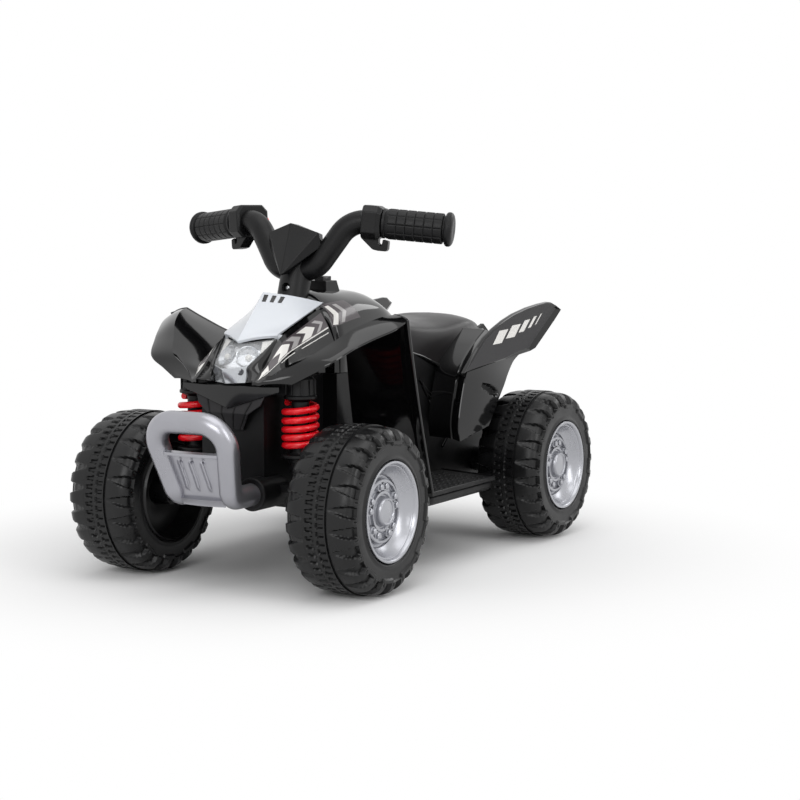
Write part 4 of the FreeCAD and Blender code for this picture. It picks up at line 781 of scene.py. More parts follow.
class QUAD_OT_cowl(bpy.types.Operator):
    """Build the front cowl with its tank, and the switch pod on it with its rocker."""
    bl_idname = "quad.cowl"
    bl_label = "Cowl and switch pod"

    def execute(self, context):
        make("dressed_front_cowl", ended(cowl_rows()), "gloss", "chassis", ["front_cowl"],
             sharp=50)
        base = [(-15, 138, 304), (15, 138, 304), (15, 170, 304), (-15, 170, 304)]
        top = [(-11.5, 142, 322), (11.5, 142, 322), (11.5, 166, 322), (-11.5, 166, 322)]
        lip = [(-7.4, 143.6, 322), (7.4, 143.6, 322), (7.4, 164.4, 322), (-7.4, 164.4, 322)]
        floor = [(x, y, 312) for x, y, _ in lip]
        make("dressed_switch_pod", capped([base, top, lip, floor]), "satin", "chassis", ["switch_pod"],
             bevel=2.2, rounds=3)
        rocker = [(-6, 145.2, 322), (-6, 145.2, 327), (-6, 149, 326.4), (-6, 154, 324.6), (-6, 159, 326.4),
                  (-6, 162.8, 327), (-6, 162.8, 322), (-6, 158.5, 318), (-6, 149.5, 318)]
        make("dressed_direction_switch", prism(rocker, (12, 0, 0)), "satin_grey", "direction_switch",
             ["direction_switch"], bevel=0.7, rounds=3)
        return {"FINISHED"}


NOSE_ALONG = 16
NOSE_ACROSS = 12


def nose_rows():
    """White nose panel: left one of two faces that meet at the ridge."""
    apex = Vector((0, -17, 264.4))
    ridge = Vector((0, 32, 313.5))
    side = Vector((34.8, 8.4, 270.2))
    arm = Vector((39.6, 91.5, 300.4))
    rows = []
    for i in range(NOSE_ALONG + 1):
        along = i / NOSE_ALONG
        row = []
        for k in range(NOSE_ACROSS + 1):
            across = k / NOSE_ACROSS
            point = apex.lerp(ridge, along).lerp(side.lerp(arm, along), across)
            point.z += 1.4 * math.sin(math.pi * across)
            row.append(tuple(point))
        rows.append(row)
    return rows


def nose_part():
    """The two faces, a lip that turns down along the lower edge and a tab at each side."""
    rows = nose_rows()
    lip = [(x, y + 0.6, z - 4.2) for x, y, z in rows[0]]
    brow = [(x, y - 1.4, z - 1.6) for x, y, z in rows[0]]
    tab = prism([(31.0, 8.4, 268.0), (35.2, 10.0, 269.4), (36.0, 15.0, 269.0), (36.0, 12.0, 258.0),
                 (34.6, 8.0, 259.0)], (-1.8, -0.4, 0))
    return joined(both_sides(net([lip, brow] + rows)), both_sides(tab))


# Top, fold and chin of the headlight, in the middle and at its left side
LENS_MIDDLE = ((0.0, -15.0, 260.2), (0.0, -48.0, 235.0), (0.0, -41.0, 219.0))
LENS_SIDE = ((33.4, 7.0, 265.0), (22.2, -30.0, 237.8), (19.6, -32.0, 219.8))
LENS_STEPS = 8


def lens_spot(across, drop, back=0.0):
    """Point on the lens.

    across is 0 in the middle and 1 at its left side; drop is 0 at its top, 1 at its fold and 2 at its chin.
    """
    line = [Vector(a).lerp(Vector(b), abs(across)) for a, b in zip(LENS_MIDDLE, LENS_SIDE)]
    part = min(int(drop), 1)
    point = line[part].lerp(line[part + 1], drop - part)
    return (math.copysign(point.x, across), point.y + back, point.z)


def lens_net(half, first, last, back):
    """Part of the lens between two drops, as wide as half on each side."""
    rows = []
    for i in range(LENS_STEPS + 1):
        drop = spread(first, last, i / LENS_STEPS)
        places = [half * k / LENS_STEPS for k in range(-LENS_STEPS, LENS_STEPS + 1)]
        rows.append([lens_spot(across, drop, back) for across in places])
    return net(rows)


LAMP_WAY = Vector((0.0, -0.80, 0.60))
# Lamp bowl: depth and radius of its rings, and facets round it
BOWL = ((0.4, 12.6), (0.0, 11.8), (-3.0, 10.0), (-5.6, 7.0), (-7.0, 4.0))
BOWL_FACETS = 14
CHIN_WAY = (0, -1, 0.35)


def lamp_place(side):
    """Middle of a lamp bowl, behind the lens."""
    return Vector(lens_spot(0.5 * side, 0.58, 5.0))


def bowl_part(side_sign):
    """Faceted lamp bowl that opens to the front."""
    way = (LAMP_WAY + Vector((0.35 * side_sign, 0, 0))).normalized()
    side = way.orthogonal().normalized()
    other = way.cross(side)
    rows = []
    for i, (depth, radius) in enumerate(BOWL):
        lead = math.pi / BOWL_FACETS * (i % 2)
        rows.append(circle(lamp_place(side_sign) + way * depth, side, other, radius, BOWL_FACETS, lead))
    return net(rows, closed=True)


class QUAD_OT_nose(bpy.types.Operator):
    """Build the nose panel and the headlight under it."""
    bl_idname = "quad.nose"
    bl_label = "Nose and headlight"

    def execute(self, context):
        make("dressed_nose_panel", nose_part(), "white", "chassis", ["nose_panel"], sharp=28,
             wall=2.6, bevel=0.9, rounds=3, up=(0, -0.3, 1))
        marks = []
        for a in (0.06, 0.20, 0.34):
            outline = ((0.80, a), (0.95, a - 0.02), (0.95, a + 0.05), (0.80, a + 0.07))
            marks.append(draped(nose_rows(), outline, 0.2, 4))
        make("nose_marks", both_sides(joined(*marks)), "film_black", "chassis", (),
             up=(0, 0, 1))
        make("dressed_headlight_lens", lens_net(1.0, 0.0, 1.0, 0.0), "clear", "chassis", ["headlight_lens"],
             sharp=12, wall=1.8, up=(0, -1, 0.5))
        make("headlight_chin", lens_net(1.0, 1.0, 2.0, 0.0), "mirror", "chassis", (),
             sharp=12, wall=1.8, bevel=0.5, up=(0, -1, 0))
        backing = lens_net(0.97, 0.06, 1.0, 11.0)
        make("dressed_headlight_reflector", backing, "mirror", "chassis", ["headlight_reflector"],
             sharp=12, up=(0, -1, 0.5))
        make("headlight_bowls", joined(bowl_part(1), bowl_part(-1)), "mirror", "chassis", (),
             sharp=4, up=(0, 1, 0))
        bulbs = [turned([(-7.5, 3.6), (-3.0, 3.6), (-1.0, 2.9), (0.0, 1.4), (0.2, 0.0)], lamp_place(x),
                        LAMP_WAY, 20) for x in (1, -1)]
        make("dressed_headlight_lamps", joined(*bulbs), "lamp", "chassis", ["headlight_lamps"])
        corner = [lens_spot(0.62, 0.05, 3.0), lens_spot(0.98, 0.05, 3.0), lens_spot(0.98, 0.62, 3.0)]
        make("headlight_corner_reflectors", both_sides(prism(corner, (0, 1.2, 0))), "film_white", "chassis",
             (), bevel=0.3)
        rim = [lens_spot(1.0, drop) for drop in (0.0, 0.5, 1.0, 1.5, 2.0)]
        outer = [(37.0, 6.0, 264.0), (37.0, -7.0, 252.0), (37.0, -19.0, 241.0), (37.0, -31.0, 231.4),
                 (37.0, -43.0, 223.0)]
        rim = [(x, y - 1.0, z) for x, y, z in rim]
        ridge = [tuple(Vector(a).lerp(Vector(b), 0.22) + Vector((0, -2.0, 0.4))) for a, b in zip(rim, outer)]
        make("headlight_bezels", both_sides(net([flow(line, 4) for line in (rim, ridge, outer)])), "gloss",
             "chassis", (), sharp=30, wall=2.0, up=(0.3, -1, 0.3))
        for name, side in SIDES:
            spot = Vector(lens_spot(0.72 * side, 1.3))
            ring = turned([(-0.8, 3.6), (0.8, 3.6), (1.0, 3.2), (0.6, 2.8), (0.6, 0.0)], spot, CHIN_WAY, 24)
            dots = []
            for angle in (0.5, 2.6, 4.7):
                place = spot + Vector((1.4 * math.cos(angle), 0, 1.4 * math.sin(angle)))
                dots.append(turned([(0.5, 0.7), (1.1, 0.6), (1.3, 0.0)], place, CHIN_WAY, 10))
            make("chin_detail_" + name, joined(ring, *dots), "case", "chassis", (),
                 sharp=30)
        return {"FINISHED"}


class QUAD_OT_grille(bpy.types.Operator):
    """Build the chin band and the ribbed grille plate under it."""
    bl_idname = "quad.grille"
    bl_label = "Chin band and grille"

    def execute(self, context):
        top = [(62, -32, 217.4), (34, -35.5, 217.2), (0, -39.4, 217.0)]
        low = [(62, -31.6, 211.2), (34, -35, 203.0), (0, -38.6, 192.2)]
        rows = []
        for share in (0.0, 0.22, 1.0):
            half = [tuple(Vector(a).lerp(Vector(b), share)) for a, b in zip(top, low)]
            rows.append([(-x, y, z) for x, y, z in half] + half[-2::-1])
        rows.append([(x, -28.4, z + 1.0) for x, y, z in rows[-1]])
        rows.insert(0, [(x, -28.4, z + 0.2) for x, y, z in rows[0]])
        make("dressed_chin_band", net(rows), "gloss", "chassis", ["front_grille"], sharp=20,
             bevel=1.0, rounds=3, up=(0, -1, 0))
        plate = [[(-46, -31.0, 212), (46, -31.0, 212)], [(-40, -35.0, 197), (40, -35.0, 197)],
                 [(-26.5, -38.4, 187.5), (26.5, -38.4, 187.5)], [(-16, -32.2, 169), (16, -32.2, 169)],
                 [(-15.5, -28.2, 168.4), (15.5, -28.2, 168.4)]]
        ribs = []
        for x in (-12.0, -4.0, 4.0, 12.0):
            line = [(x * 2.6, -33.0, 207), (x * 1.9, -38.9, 188.2), (x * 1.9, -39.0, 186.8),
                    (x, -32.8, 169.6)]
            section = ((-0.9, 0), (0.9, 0), (0.9, 2), (-0.9, 2))
            ribs.append(capped([[(px + dx, py + dy, pz) for dx, dy in section] for px, py, pz in line]))
        make("grille_plate", net(plate), "satin_grey", "chassis", (), sharp=20, wall=2.0,
             bevel=0.8, up=(0, -1, 0))
        make("grille_ribs", joined(*ribs), "satin", "chassis", (), sharp=20, bevel=0.5)
        return {"FINISHED"}


# Left half of the bumper loop: end in its socket, foot of the leg, upper corner
BUMPER_END = Vector((34, -29, 103))
BUMPER_FOOT = Vector((34, -81, 103))
BUMPER_CORNER = Vector((49, -110, 184))
# Plate between the legs: its height, its net, how far it bows out and stands before the legs' middle
PLATE_Z = (95.0, 150.0)
PLATE_UP = 48
PLATE_ACROSS = 192
PLATE_BOW = 3.5
PLATE_LIFT = 1.5
GILLS = (-14.5, 0.0, 14.5)
LIP_STEPS = 12


def bumper_leg(z):
    """Middle of the left leg at a height."""
    return BUMPER_FOOT.lerp(BUMPER_CORNER, (z - BUMPER_FOOT.z) / (BUMPER_CORNER.z - BUMPER_FOOT.z))


def bumper_plate():
    """Bowed plate with three gills, each with a notch over it."""
    rows = []
    for i in range(PLATE_UP + 1):
        z = spread(*PLATE_Z, i / PLATE_UP)
        leg = bumper_leg(z)
        tall = smooth(109.0, 115.0, z) * (1 - smooth(141.5, 143.5, z))
        row = []
        for k in range(PLATE_ACROSS + 1):
            x = spread(-leg.x, leg.x, k / PLATE_ACROSS)
            bow = PLATE_BOW * (1 - (x / leg.x) ** 2)
            relief = 0.0
            for gill_x in GILLS:
                past = x - gill_x - 1.6 * math.cos((z - 112) / 34 * math.pi)
                relief += 2.6 * tall * smooth(-6.5, -0.4, past) * (1 - smooth(-0.4, 0.8, past))
                relief -= 2.2 * gate(z, 141.5, 146.0, 0.8) * gate(past, -1.6, 1.2, 0.7)
            row.append((x, leg.y - PLATE_LIFT - bow - relief, z))
        rows.append(row)
    return net(rows)


def bumper_lips():
    """Lips along the plate's upper and lower edge; the lower one leans forwards."""
    lips = []
    for z, tall, low, high in ((150.0, 3.0, 6.0, 6.6), (98.5, 5.0, 0.0, 6.0)):
        leg = bumper_leg(z)
        section = ((-tall, 0.5), (-tall * 0.6, -low), (tall * 0.5, -high), (tall, 0.5))
        rings = []
        for k in range(-LIP_STEPS, LIP_STEPS + 1):
            a = k / LIP_STEPS
            y = leg.y - PLATE_LIFT - PLATE_BOW * (1 - a * a)
            rings.append([((leg.x - 6) * a, y + dy, z + dz) for dz, dy in section])
        lips.append(capped(rings))
    return joined(*lips)


class QUAD_OT_bumper(bpy.types.Operator):
    """Build the bumper loop, its plate with gills and lips, and the sockets that hold it."""
    bl_idname = "quad.bumper"
    bl_label = "Front bumper"

    def execute(self, context):
        line = [BUMPER_END, BUMPER_FOOT, BUMPER_CORNER]
        line += [Vector((-p.x, p.y, p.z)) for p in reversed(line)]
        loop = tube(rounded_path(line, (15, 26, 26, 15), 12), context.scene.quad_sizes.bumper_radius / MM, 36)
        make("dressed_front_bumper", loop, "silver_dull", "chassis", ["front_bumper"], sharp=50)
        make("bumper_plate", bumper_plate(), "silver_dull", "chassis", (), sharp=60, wall=3.0,
             up=(0, -1, 0))
        make("bumper_lips", bumper_lips(), "silver_dull", "chassis", (), sharp=40, bevel=0.9,
             rounds=3)
        ring = [(-49.0, 17.6), (-48.0, 17.9), (-1.6, 17.9), (-0.6, 17.2), (-0.4, 16.2), (-1.8, 15.8),
                (-2.0, 14.9), (-0.8, 14.5), (-0.8, 13.6), (-3.5, 12.4)]
        for name, side in SIDES:
            socket = turned(ring, (BUMPER_END.x * side, -44.8, BUMPER_END.z), (0, -1, 0), 48)
            make("bumper_socket_" + name, socket, "satin", "chassis", (), sharp=30)
        return {"FINISHED"}


# Left half of the handlebar: bend at the clamp, upper bend and end, then the directions along its end,
# towards the rider and upwards
BAR_LOW = Vector((24, 100.6, 336))
BAR_HIGH = Vector((62, 114, 391))
BAR_END = Vector((170, 154, 380.5))
BAR_WAY = (BAR_END - BAR_HIGH).normalized()
BAR_REAR = Vector((0, 0, 1)).cross(BAR_WAY).normalized()
BAR_UP = BAR_WAY.cross(BAR_REAR)
BAR_RUN = (BAR_END - BAR_HIGH).length
COLUMN_RAKE = math.radians(18)
COLUMN_WAY = Vector((0, math.sin(COLUMN_RAKE), math.cos(COLUMN_RAKE)))
COLUMN_Y = 91.5
COLUMN_Z = 308
CLAMP_RADIUS = 17.5
# Grip: where it starts along the bar's end, where its pads start and end, and the pads along and round it
GRIP_START = 36.4
PADS_START = 43.0
PADS_END = BAR_RUN - 11.5
PADS_ALONG = 6
PADS_AROUND = 10
PAD_DEPTH = 0.9
GRIP_STEPS = 96
GRIP_AROUND = 160
# Flange at the grip's end: distance back from the bar's end, and radius
GRIP_FLANGE = ((11.0, 14.4), (9.6, 14.6), (9.0, 17.0), (8.0, 18.4), (6.4, 19.0), (4.2, 18.9), (2.4, 17.9),
               (1.1, 16.0), (0.4, 13.6), (0.2, 11.0), (0.5, 8.0), (0.7, 4.0), (0.8, 0.0))


def column_at(z):
    """Point of the raked steering axis at a height."""
    return Vector((0, COLUMN_Y + (z - COLUMN_Z) * math.tan(COLUMN_RAKE), z))


def at_bar(along, rear=0.0, up=0.0):
    """Point beside the left end of the bar: distance along it, towards the rider, upwards."""
    return BAR_HIGH + BAR_WAY * along + BAR_REAR * rear + BAR_UP * up


def bar_part(radius):
    """Bent bar and the clamp in its middle, which has a sunken hole for the column's screw."""
    half = [BAR_END - BAR_WAY * 6, BAR_HIGH, BAR_LOW]
    line = half + [Vector((-p.x, p.y, p.z)) for p in reversed(half)]
    bar = tube(rounded_path(line, (34, 26, 26, 34), 14), radius, 36)
    profile = [(0.0, 12.5), (0.0, 16.6), (0.9, CLAMP_RADIUS)] + [(1.0 + i, CLAMP_RADIUS) for i in range(60)]
    profile += [(63.6, 16.6), (65.2, 14.0), (65.4, 0.0)]
    corners, faces = turned(profile, column_at(290), COLUMN_WAY, 144)
    hole = column_at(317) - Vector((0, CLAMP_RADIUS, 0))
    sunk = []
    for p in corners:
        p = Vector(p)
        depth = 6.0 * (1 - smooth(3.9, 4.9, (p - hole).length)) if p.y < hole.y + 6 else 0.0
        sunk.append(tuple(p + Vector((0, depth, 0))))
    return joined(bar, (sunk, faces))


def cover_part():
    """Faceted shield over the clamp: a ridge up the middle, a broad face and a narrow facet on each side."""
    low = (0, 66, 330)
    top = (0, 87, 388)
    corner = (32.6, 93, 377.5)
    side = (34.5, 97, 362)
    top_back = (0, 103, 386)
    corner_back = (29, 108, 375)
    side_back = (30, 109, 361)
    low_back = (0, 94, 333)
    corners = [low, top, corner, side, top_back, corner_back, side_back, low_back]
    faces = [(0, 2, 1), (0, 3, 2), (1, 2, 5, 4), (2, 3, 6, 5), (0, 7, 6, 3), (4, 5, 6, 7)]
    return both_sides((corners, faces))


def grip_part(radius):
    """Soft grip: inner collar, six rows of shallow pads, mushroom flange with a dished end."""
    rows = []
    collar = ((0.0, 2.0), (0.8, 0.4), (3.2, 0.4), (4.0, 1.4), (4.6, 1.4), (5.4, 0.6),
              (PADS_START - GRIP_START, 0.6))
    for along, inset in collar:
        rows.append(circle(at_bar(GRIP_START + along), BAR_REAR, BAR_UP, radius - inset, GRIP_AROUND))
    for i in range(1, GRIP_STEPS + 1):
        place = spread(PADS_START, PADS_END, i / GRIP_STEPS)
        between = 1 - gate(i / GRIP_STEPS * PADS_ALONG % 1, 0.05, 0.95, 0.03)
        row = []
        for k in range(GRIP_AROUND):
            angle = TURN * k / GRIP_AROUND
            slot = 1 - gate(k / GRIP_AROUND * PADS_AROUND % 1, 0.05, 0.95, 0.03)
            reach = radius - PAD_DEPTH * max(between, slot)
            row.append(tuple(at_bar(place, reach * math.cos(angle), reach * math.sin(angle))))
        rows.append(row)
    for back, ring in GRIP_FLANGE:
        rows.append(circle(at_bar(BAR_RUN - back), BAR_REAR, BAR_UP, ring, GRIP_AROUND))
    return net(rows, closed=True)


def block_part():
    """Control block round the bar, with a J-shaped lever under it."""
    cut = 7.0
    high = 18.5
    front = -18
    rear = 26
    middle = (front + rear) / 2
    outline = [(front, cut - high), (front + cut, -high), (rear - cut, -high), (rear, cut - high),
               (rear, high - cut), (rear - cut, high), (front + cut, high), (front, high - cut)]
    rings = []
    for along, share in ((14.0, 0.9), (15.4, 1.0), (31.0, 1.0), (36.0, 0.86)):
        rings.append([tuple(at_bar(along, spread(middle, a, share), b * share)) for a, b in outline])
    hook = [(14.0, -9.0), (14.0, -18.0), (28.0, -29.6), (34.0, -30.5), (43.0, -30.5), (45.0, -28.5),
            (45.0, -19.0), (38.6, -17.6), (38.4, -22.5), (36.4, -24.4), (34.0, -22.0), (34.0, -9.0)]
    face = [tuple(at_bar(along, -7.0, up)) for along, up in hook]
    lever = prism(face, BAR_REAR * 14)
    rib = ((30, -18), (43, -29), (36, -29), (28, -27))
    web = prism([tuple(at_bar(along, -1.2, up)) for along, up in rib], BAR_REAR * 2.4)
    return joined(capped(rings), lever, web)


class QUAD_OT_steering(bpy.types.Operator):
    """Build the handlebar, its cover and screw, the grips, the control blocks and the throttle."""
    bl_idname = "quad.steering"
    bl_label = "Handlebar"

    def execute(self, context):
        sizes = context.scene.quad_sizes
        make("dressed_handlebar", bar_part(sizes.bar_radius / MM), "satin", "steering", ["handlebar"],
             sharp=40)
        make("dressed_handlebar_cover", cover_part(), "satin", "steering", ["handlebar_cover"],
             sharp=8, bevel=0.7, rounds=3)
        grip = grip_part(sizes.grip_radius / MM)
        block = block_part()
        for name, side in SIDES:
            make("dressed_grip_" + name, on_side(grip, side), "grip", "steering", ["grip_" + name],
                 sharp=50)
            make("dressed_control_block_" + name, on_side(block, side), "satin", "steering",
                 ["control_block_" + name], sharp=25, bevel=1.6, rounds=3)
        screw = turned([(-5.0, 1.6), (0.0, 1.6), (0.0, 2.6), (0.8, 2.4), (1.2, 1.5), (0.7, 1.1), (0.7, 0.0)],
                       column_at(316.2) - Vector((0, 13.0, 0)), (0, -1, 0), 24)
        make("dressed_column_screw", screw, "zinc", "steering", ["column_screw"], sharp=30)
        # The throttle is on the right, where it mirrors this place on the left block
        throttle = at_bar(25, 26)
        collar = turned([(-5.0, 6.5), (1.0, 6.5), (1.4, 6.9), (1.4, 7.7), (0.9, 8.3), (-5.0, 8.3)], throttle,
                        BAR_REAR, 48)
        make("throttle_collar", mirrored(collar), "satin", "steering", (), sharp=40)
        button = turned([(-8.0, 6.0), (3.0, 6.0), (4.4, 5.4), (5.0, 4.2), (5.2, 0.0)], throttle, BAR_REAR, 40)
        make("dressed_throttle_button", mirrored(button), "red", "throttle", ["throttle_button"],
             sharp=40)
        return {"FINISHED"}


SHOCK_X = 68.0
TOWER_RIBS = 10
# Faces of the two seats that hold the spring, and steps per turn of its wire
SPRING_Z = (145, 202)
SPRING_STEPS = 44


def shock_part(x):
    """Dummy shock: post, spring seat, damper body, ribbed tower and the arm to the front box."""
    profile = [(124, 5.6), (124, 11.0), (125, 12.0), (134, 12.0), (135, 13.2), (139, 13.6), (140, 19.6),
               (140.8, 21.0), (143, 21.0), (144, 20.0), (144, 12.4), (146, 11.0), (172, 11.0), (173, 9.4),
               (200, 9.4), (202, 14.0), (203.4, 18.0), (206, 18.0), (207.6, 16.4), (224, 15.4), (226.4, 13.6),
               (227, 0.0)]
    parts = [turned(profile, (x, 0, 0), (0, 0, 1), 48)]
    for i in range(TOWER_RIBS):
        angle = TURN * (i + 0.5) / TOWER_RIBS
        out = Vector((math.cos(angle), math.sin(angle), 0))
        along = Vector((-math.sin(angle), math.cos(angle), 0))
        base = Vector((x, 0, 207.5)) + out * 14.5
        foot = [tuple(base + along * 1.2), tuple(base - along * 1.2), tuple(base - along * 0.9 + out * 3.0),
                tuple(base + along * 0.9 + out * 3.0)]
        parts.append(prism(foot, (0, 0, 16)))
    side = 1 if x > 0 else -1
    arm = [(side * 40, -14, 206), (side * 40, 14, 206), (x, 11, 207), (x, -11, 207)]
    parts.append(prism(arm, (0, 0, 13.6)))
    return joined(*parts)


def spring_part(sizes, x):
    """Right-handed coil whose curls lie closer towards the lower seat."""
    wire = sizes.spring_wire / MM
    radius = sizes.spring_radius / MM
    turns = sizes.spring_turns
    low = SPRING_Z[0] + wire
    high = SPRING_Z[1] - wire
    path = []
    count = int(turns * SPRING_STEPS)
    for i in range(count + 1):
        share = i / count
        angle = TURN * turns * share
        rise = share * 0.84 + share * share * 0.16
        path.append((x + radius * math.cos(angle), radius * math.sin(angle), spread(low, high, rise)))
    return tube(path, wire, 18)


class QUAD_OT_suspension(bpy.types.Operator):
    """Build the dummy shocks and their springs."""
    bl_idname = "quad.suspension"
    bl_label = "Shocks and springs"

    def execute(self, context):
        sizes = context.scene.quad_sizes
        for name, side in SIDES:
            x = SHOCK_X * side
            make("dressed_shock_body_" + name, shock_part(x), "satin", "chassis", ["shock_body_" + name],
                 sharp=30, bevel=0.4)
            make("dressed_spring_" + name, spring_part(sizes, x), "red", "chassis", ["spring_" + name],
                 sharp=60)
        return {"FINISHED"}


# Seat, from front to rear, in shares of its box: place along Y, half width, skirt, shoulder and crown
SEAT_Y = (246.0, 457.0)
SEAT_HALF = 68.0
SEAT_Z = (200.0, 276.0)
SEAT_ROWS = (
    (0.005, 0.59, 0.520, 0.857, 1.000),
    (0.170, 0.79, 0.370, 0.738, 0.929),
    (0.420, 0.94, 0.180, 0.690, 0.905),
    (0.700, 0.99, 0.530, 0.775, 0.970),
    (0.840, 0.92, 0.660, 0.755, 0.920),
    (0.940, 0.80, 0.660, 0.710, 0.800),
    (1.000, 0.66, 0.620, 0.650, 0.680),
)


def seat_part():
    """Hard moulded seat, whose skirt dips under each thigh, and the bead along the skirt."""
    rows = []
    for at, half, low, shoulder, crown in flow(SEAT_ROWS, 8):
        y = spread(*SEAT_Y, at)
        a = SEAT_HALF * half
        z_low, z_shoulder, z_crown = [spread(*SEAT_Z, share) for share in (low, shoulder, crown)]
        end = 1 - smooth(0.0, 0.05, at) * (1 - smooth(0.95, 1.0, at))
        z_crown -= 2.5 * end
        lip = [(a - 3.0, z_low), (a + 0.6, z_low), (a + 0.8, z_low + 2.4), (a - 0.4, z_low + 3.2)]
        side = flow([(a - 0.4, z_low + 3.2), (a * 0.985, spread(z_low, z_shoulder, 0.55)),
                     (a * 0.93, z_shoulder - 1.0), (a * 0.82, spread(z_shoulder, z_crown, 0.5)),
                     (a * 0.45, spread(z_shoulder, z_crown, 0.9)), (0.0, z_crown)], 4)
        row = [(x, y, z) for x, z in lip[:-1] + side]
        rows.append(row + [(-x, py, z) for x, py, z in reversed(row[:-1])])
    bead = tube([Vector(row[1]) + Vector((0.4, 0, 1.0)) for row in rows], 2.0, 16)
    return ended(rows), both_sides(bead)


# Rear side panel: (y, z) of its front and of its rear edge, from below upwards
PANEL_FRONT = ((280.0, 129.5), (277.0, 150.0), (286.0, 185.0), (300.0, 214.0), (331.0, 238.0), (363.0, 255.0))
PANEL_REAR = ((331.0, 144.5), (343.0, 158.0), (359.0, 176.5), (380.0, 197.5), (408.0, 213.5), (432.0, 224.0))
PANEL_STEPS = 16
PANEL_ACROSS = 60
PANEL_X = 110.8
# Flange in front of the face: x, then how far behind and above the front edge
PANEL_FLANGE = ((62.0, 15.0, 2.0), (90.0, 13.5, 1.5), (93.0, 12.2, 1.2), (94.2, 13.4, 1.2), (95.4, 12.4, 1.2),
                (107.0, 2.6, 0.4), (109.8, 0.7, 0.0))
# Oval recess: its middle, and the cosine and sine of its lean
RECESS_Y = 339.0
RECESS_Z = 187.0
RECESS_COS = 0.925
RECESS_SIN = 0.38
RECESS_DEPTH = 6.0
SHADE_PLATE_STEPS = 36


def panel_part():
    """Rear side panel: flange in front, crowned face with an oval recess, wheel arch behind, deck on top."""
    rows = []
    front = flow(PANEL_FRONT, PANEL_STEPS)
    rear = flow(PANEL_REAR, PANEL_STEPS)
    for i, ((front_y, front_z), (rear_y, rear_z)) in enumerate(zip(front, rear)):
        v = i / (len(front) - 1)
        row = [(x, front_y + back, front_z + rise) for x, back, rise in PANEL_FLANGE]
        flare = spread(13.0, 4.0, smooth(0.5, 0.9, v))
        for k in range(PANEL_ACROSS + 1):
            u = k / PANEL_ACROSS
            y = spread(front_y + 1.2, rear_y - 1.0, u)
            z = spread(front_z, rear_z, u)
            bulge = 2.2 * math.sin(math.pi * u) * math.sin(math.pi * v)
            along = (y - RECESS_Y) * RECESS_COS - (z - RECESS_Z) * RECESS_SIN
            over = (y - RECESS_Y) * RECESS_SIN + (z - RECESS_Z) * RECESS_COS
            oval = math.hypot(along / 18.0, over / 5.4)
            x = PANEL_X + flare * u + bulge - RECESS_DEPTH * (1 - smooth(0.78, 1.04, oval))
            row.append((x, y, z))
        row += [(109.4 + flare, rear_y, rear_z), (105.0 + flare, rear_y - 0.2, rear_z + 0.1),
                (60.0, rear_y - 1.2, rear_z + 0.6)]
        rows.append(row)
    corners, faces = net(rows)
    deck = tuple(range(len(corners) - len(rows[0]), len(corners)))
    return corners, faces + [deck]


def recess_shade_plate_part():
    """Dull black plate on the oval recess's floor: painted shade that makes the recess read dark."""
    outline = []
    for i in range(SHADE_PLATE_STEPS):
        angle = TURN * i / SHADE_PLATE_STEPS
        along, over = 16.4 * math.cos(angle), 4.8 * math.sin(angle)
        y = RECESS_Y + along * RECESS_COS + over * RECESS_SIN
        z = RECESS_Z - along * RECESS_SIN + over * RECESS_COS
        outline.append((115.4 + 0.157 * (y - RECESS_Y), y, z))
    return prism(outline, (-1.0, 0, 0))


# Wing: (y, z) of its outline, from the front over the top to the rear and back below
WING = ((286.0, 210.0), (300.0, 223.0), (316.0, 236.5), (334.0, 249.5), (356.0, 259.5), (380.0, 268.0),
        (405.0, 274.8), (440.0, 281.0), (470.0, 284.4), (492.0, 286.0), (503.0, 285.2), (514.0, 281.0),
        (523.5, 274.4), (506.0, 262.0), (478.0, 244.0), (455.0, 229.4), (446.0, 226.0), (420.0, 223.6),
        (385.0, 220.0), (345.0, 216.0), (312.0, 212.6))
# Corners of the outline on the flared lip, and those beside it
WING_LIP = (12, 13, 14, 15)
WING_NEAR_LIP = (11, 16, 17)
# Rings from the wing's inner side to its face: depth and inset of the plain edge, then of the flared lip
WING_RINGS = ((6.0, 2.0, 6.0, 9.0), (5.4, 0.3, 1.6, 1.4), (3.4, 0.0, -2.4, 0.0), (0.9, 0.5, -3.6, 1.0),
              (0.2, 1.6, 1.0, 7.0), (0.0, 2.2, 0.0, 8.2))
WING_FACE_LIFT = 0.08
# Printed bars: start along Y and width, how far each leans to the rear, and its lift off the face
WING_BARS = ((352.0, 22.0), (384.0, 22.0), (416.0, 14.0), (440.0, 8.0), (458.0, 4.0))
PRINT_LEAN = 16
PRINT_LIFT = 0.2


def wing_x(y):
    """Where the wing's face lies: it stands further out towards the rear."""
    return spread(114.6, 124.6, (y - 286.0) / 242.5)


def wing_part():
    """Wing over the tyre: body with a lip that flares out along the rear edge, and the face inside it."""
    rings = []
    for drop, inset, flare, reach in WING_RINGS:
        ring = []
        for i, (y, z) in enumerate(WING):
            along = (Vector(WING[(i + 1) % len(WING)]) - Vector(WING[i - 1])).normalized()
            share = 1.0 if i in WING_LIP else 0.4 if i in WING_NEAR_LIP else 0.0
            inwards = spread(inset, reach, share)
            y += along.y * inwards
            ring.append((wing_x(y) - spread(drop, flare, share), y, z - along.x * inwards))
        rings.append(ring)
    face = [(x + WING_FACE_LIFT, y, z) for x, y, z in rings[-1]]
    return capped(rings), (face, [tuple(range(len(face)))])


def wing_bars():
    """Slanted bars just off the wing's face, which climb and get narrower towards the rear."""
    bars = []
    for start, width in WING_BARS:
        climb = (start - WING_BARS[0][0]) / 110
        outline = ((start, spread(240.0, 259.0, climb)), (start + width, spread(241.0, 260.0, climb)),
                   (start + width + PRINT_LEAN, spread(257.0, 273.0, climb)),
                   (start + PRINT_LEAN, spread(256.0, 272.0, climb)))
        bars.append(([(wing_x(y) + PRINT_LIFT, y, z) for y, z in outline], [(0, 1, 2, 3)]))
    return joined(*bars)


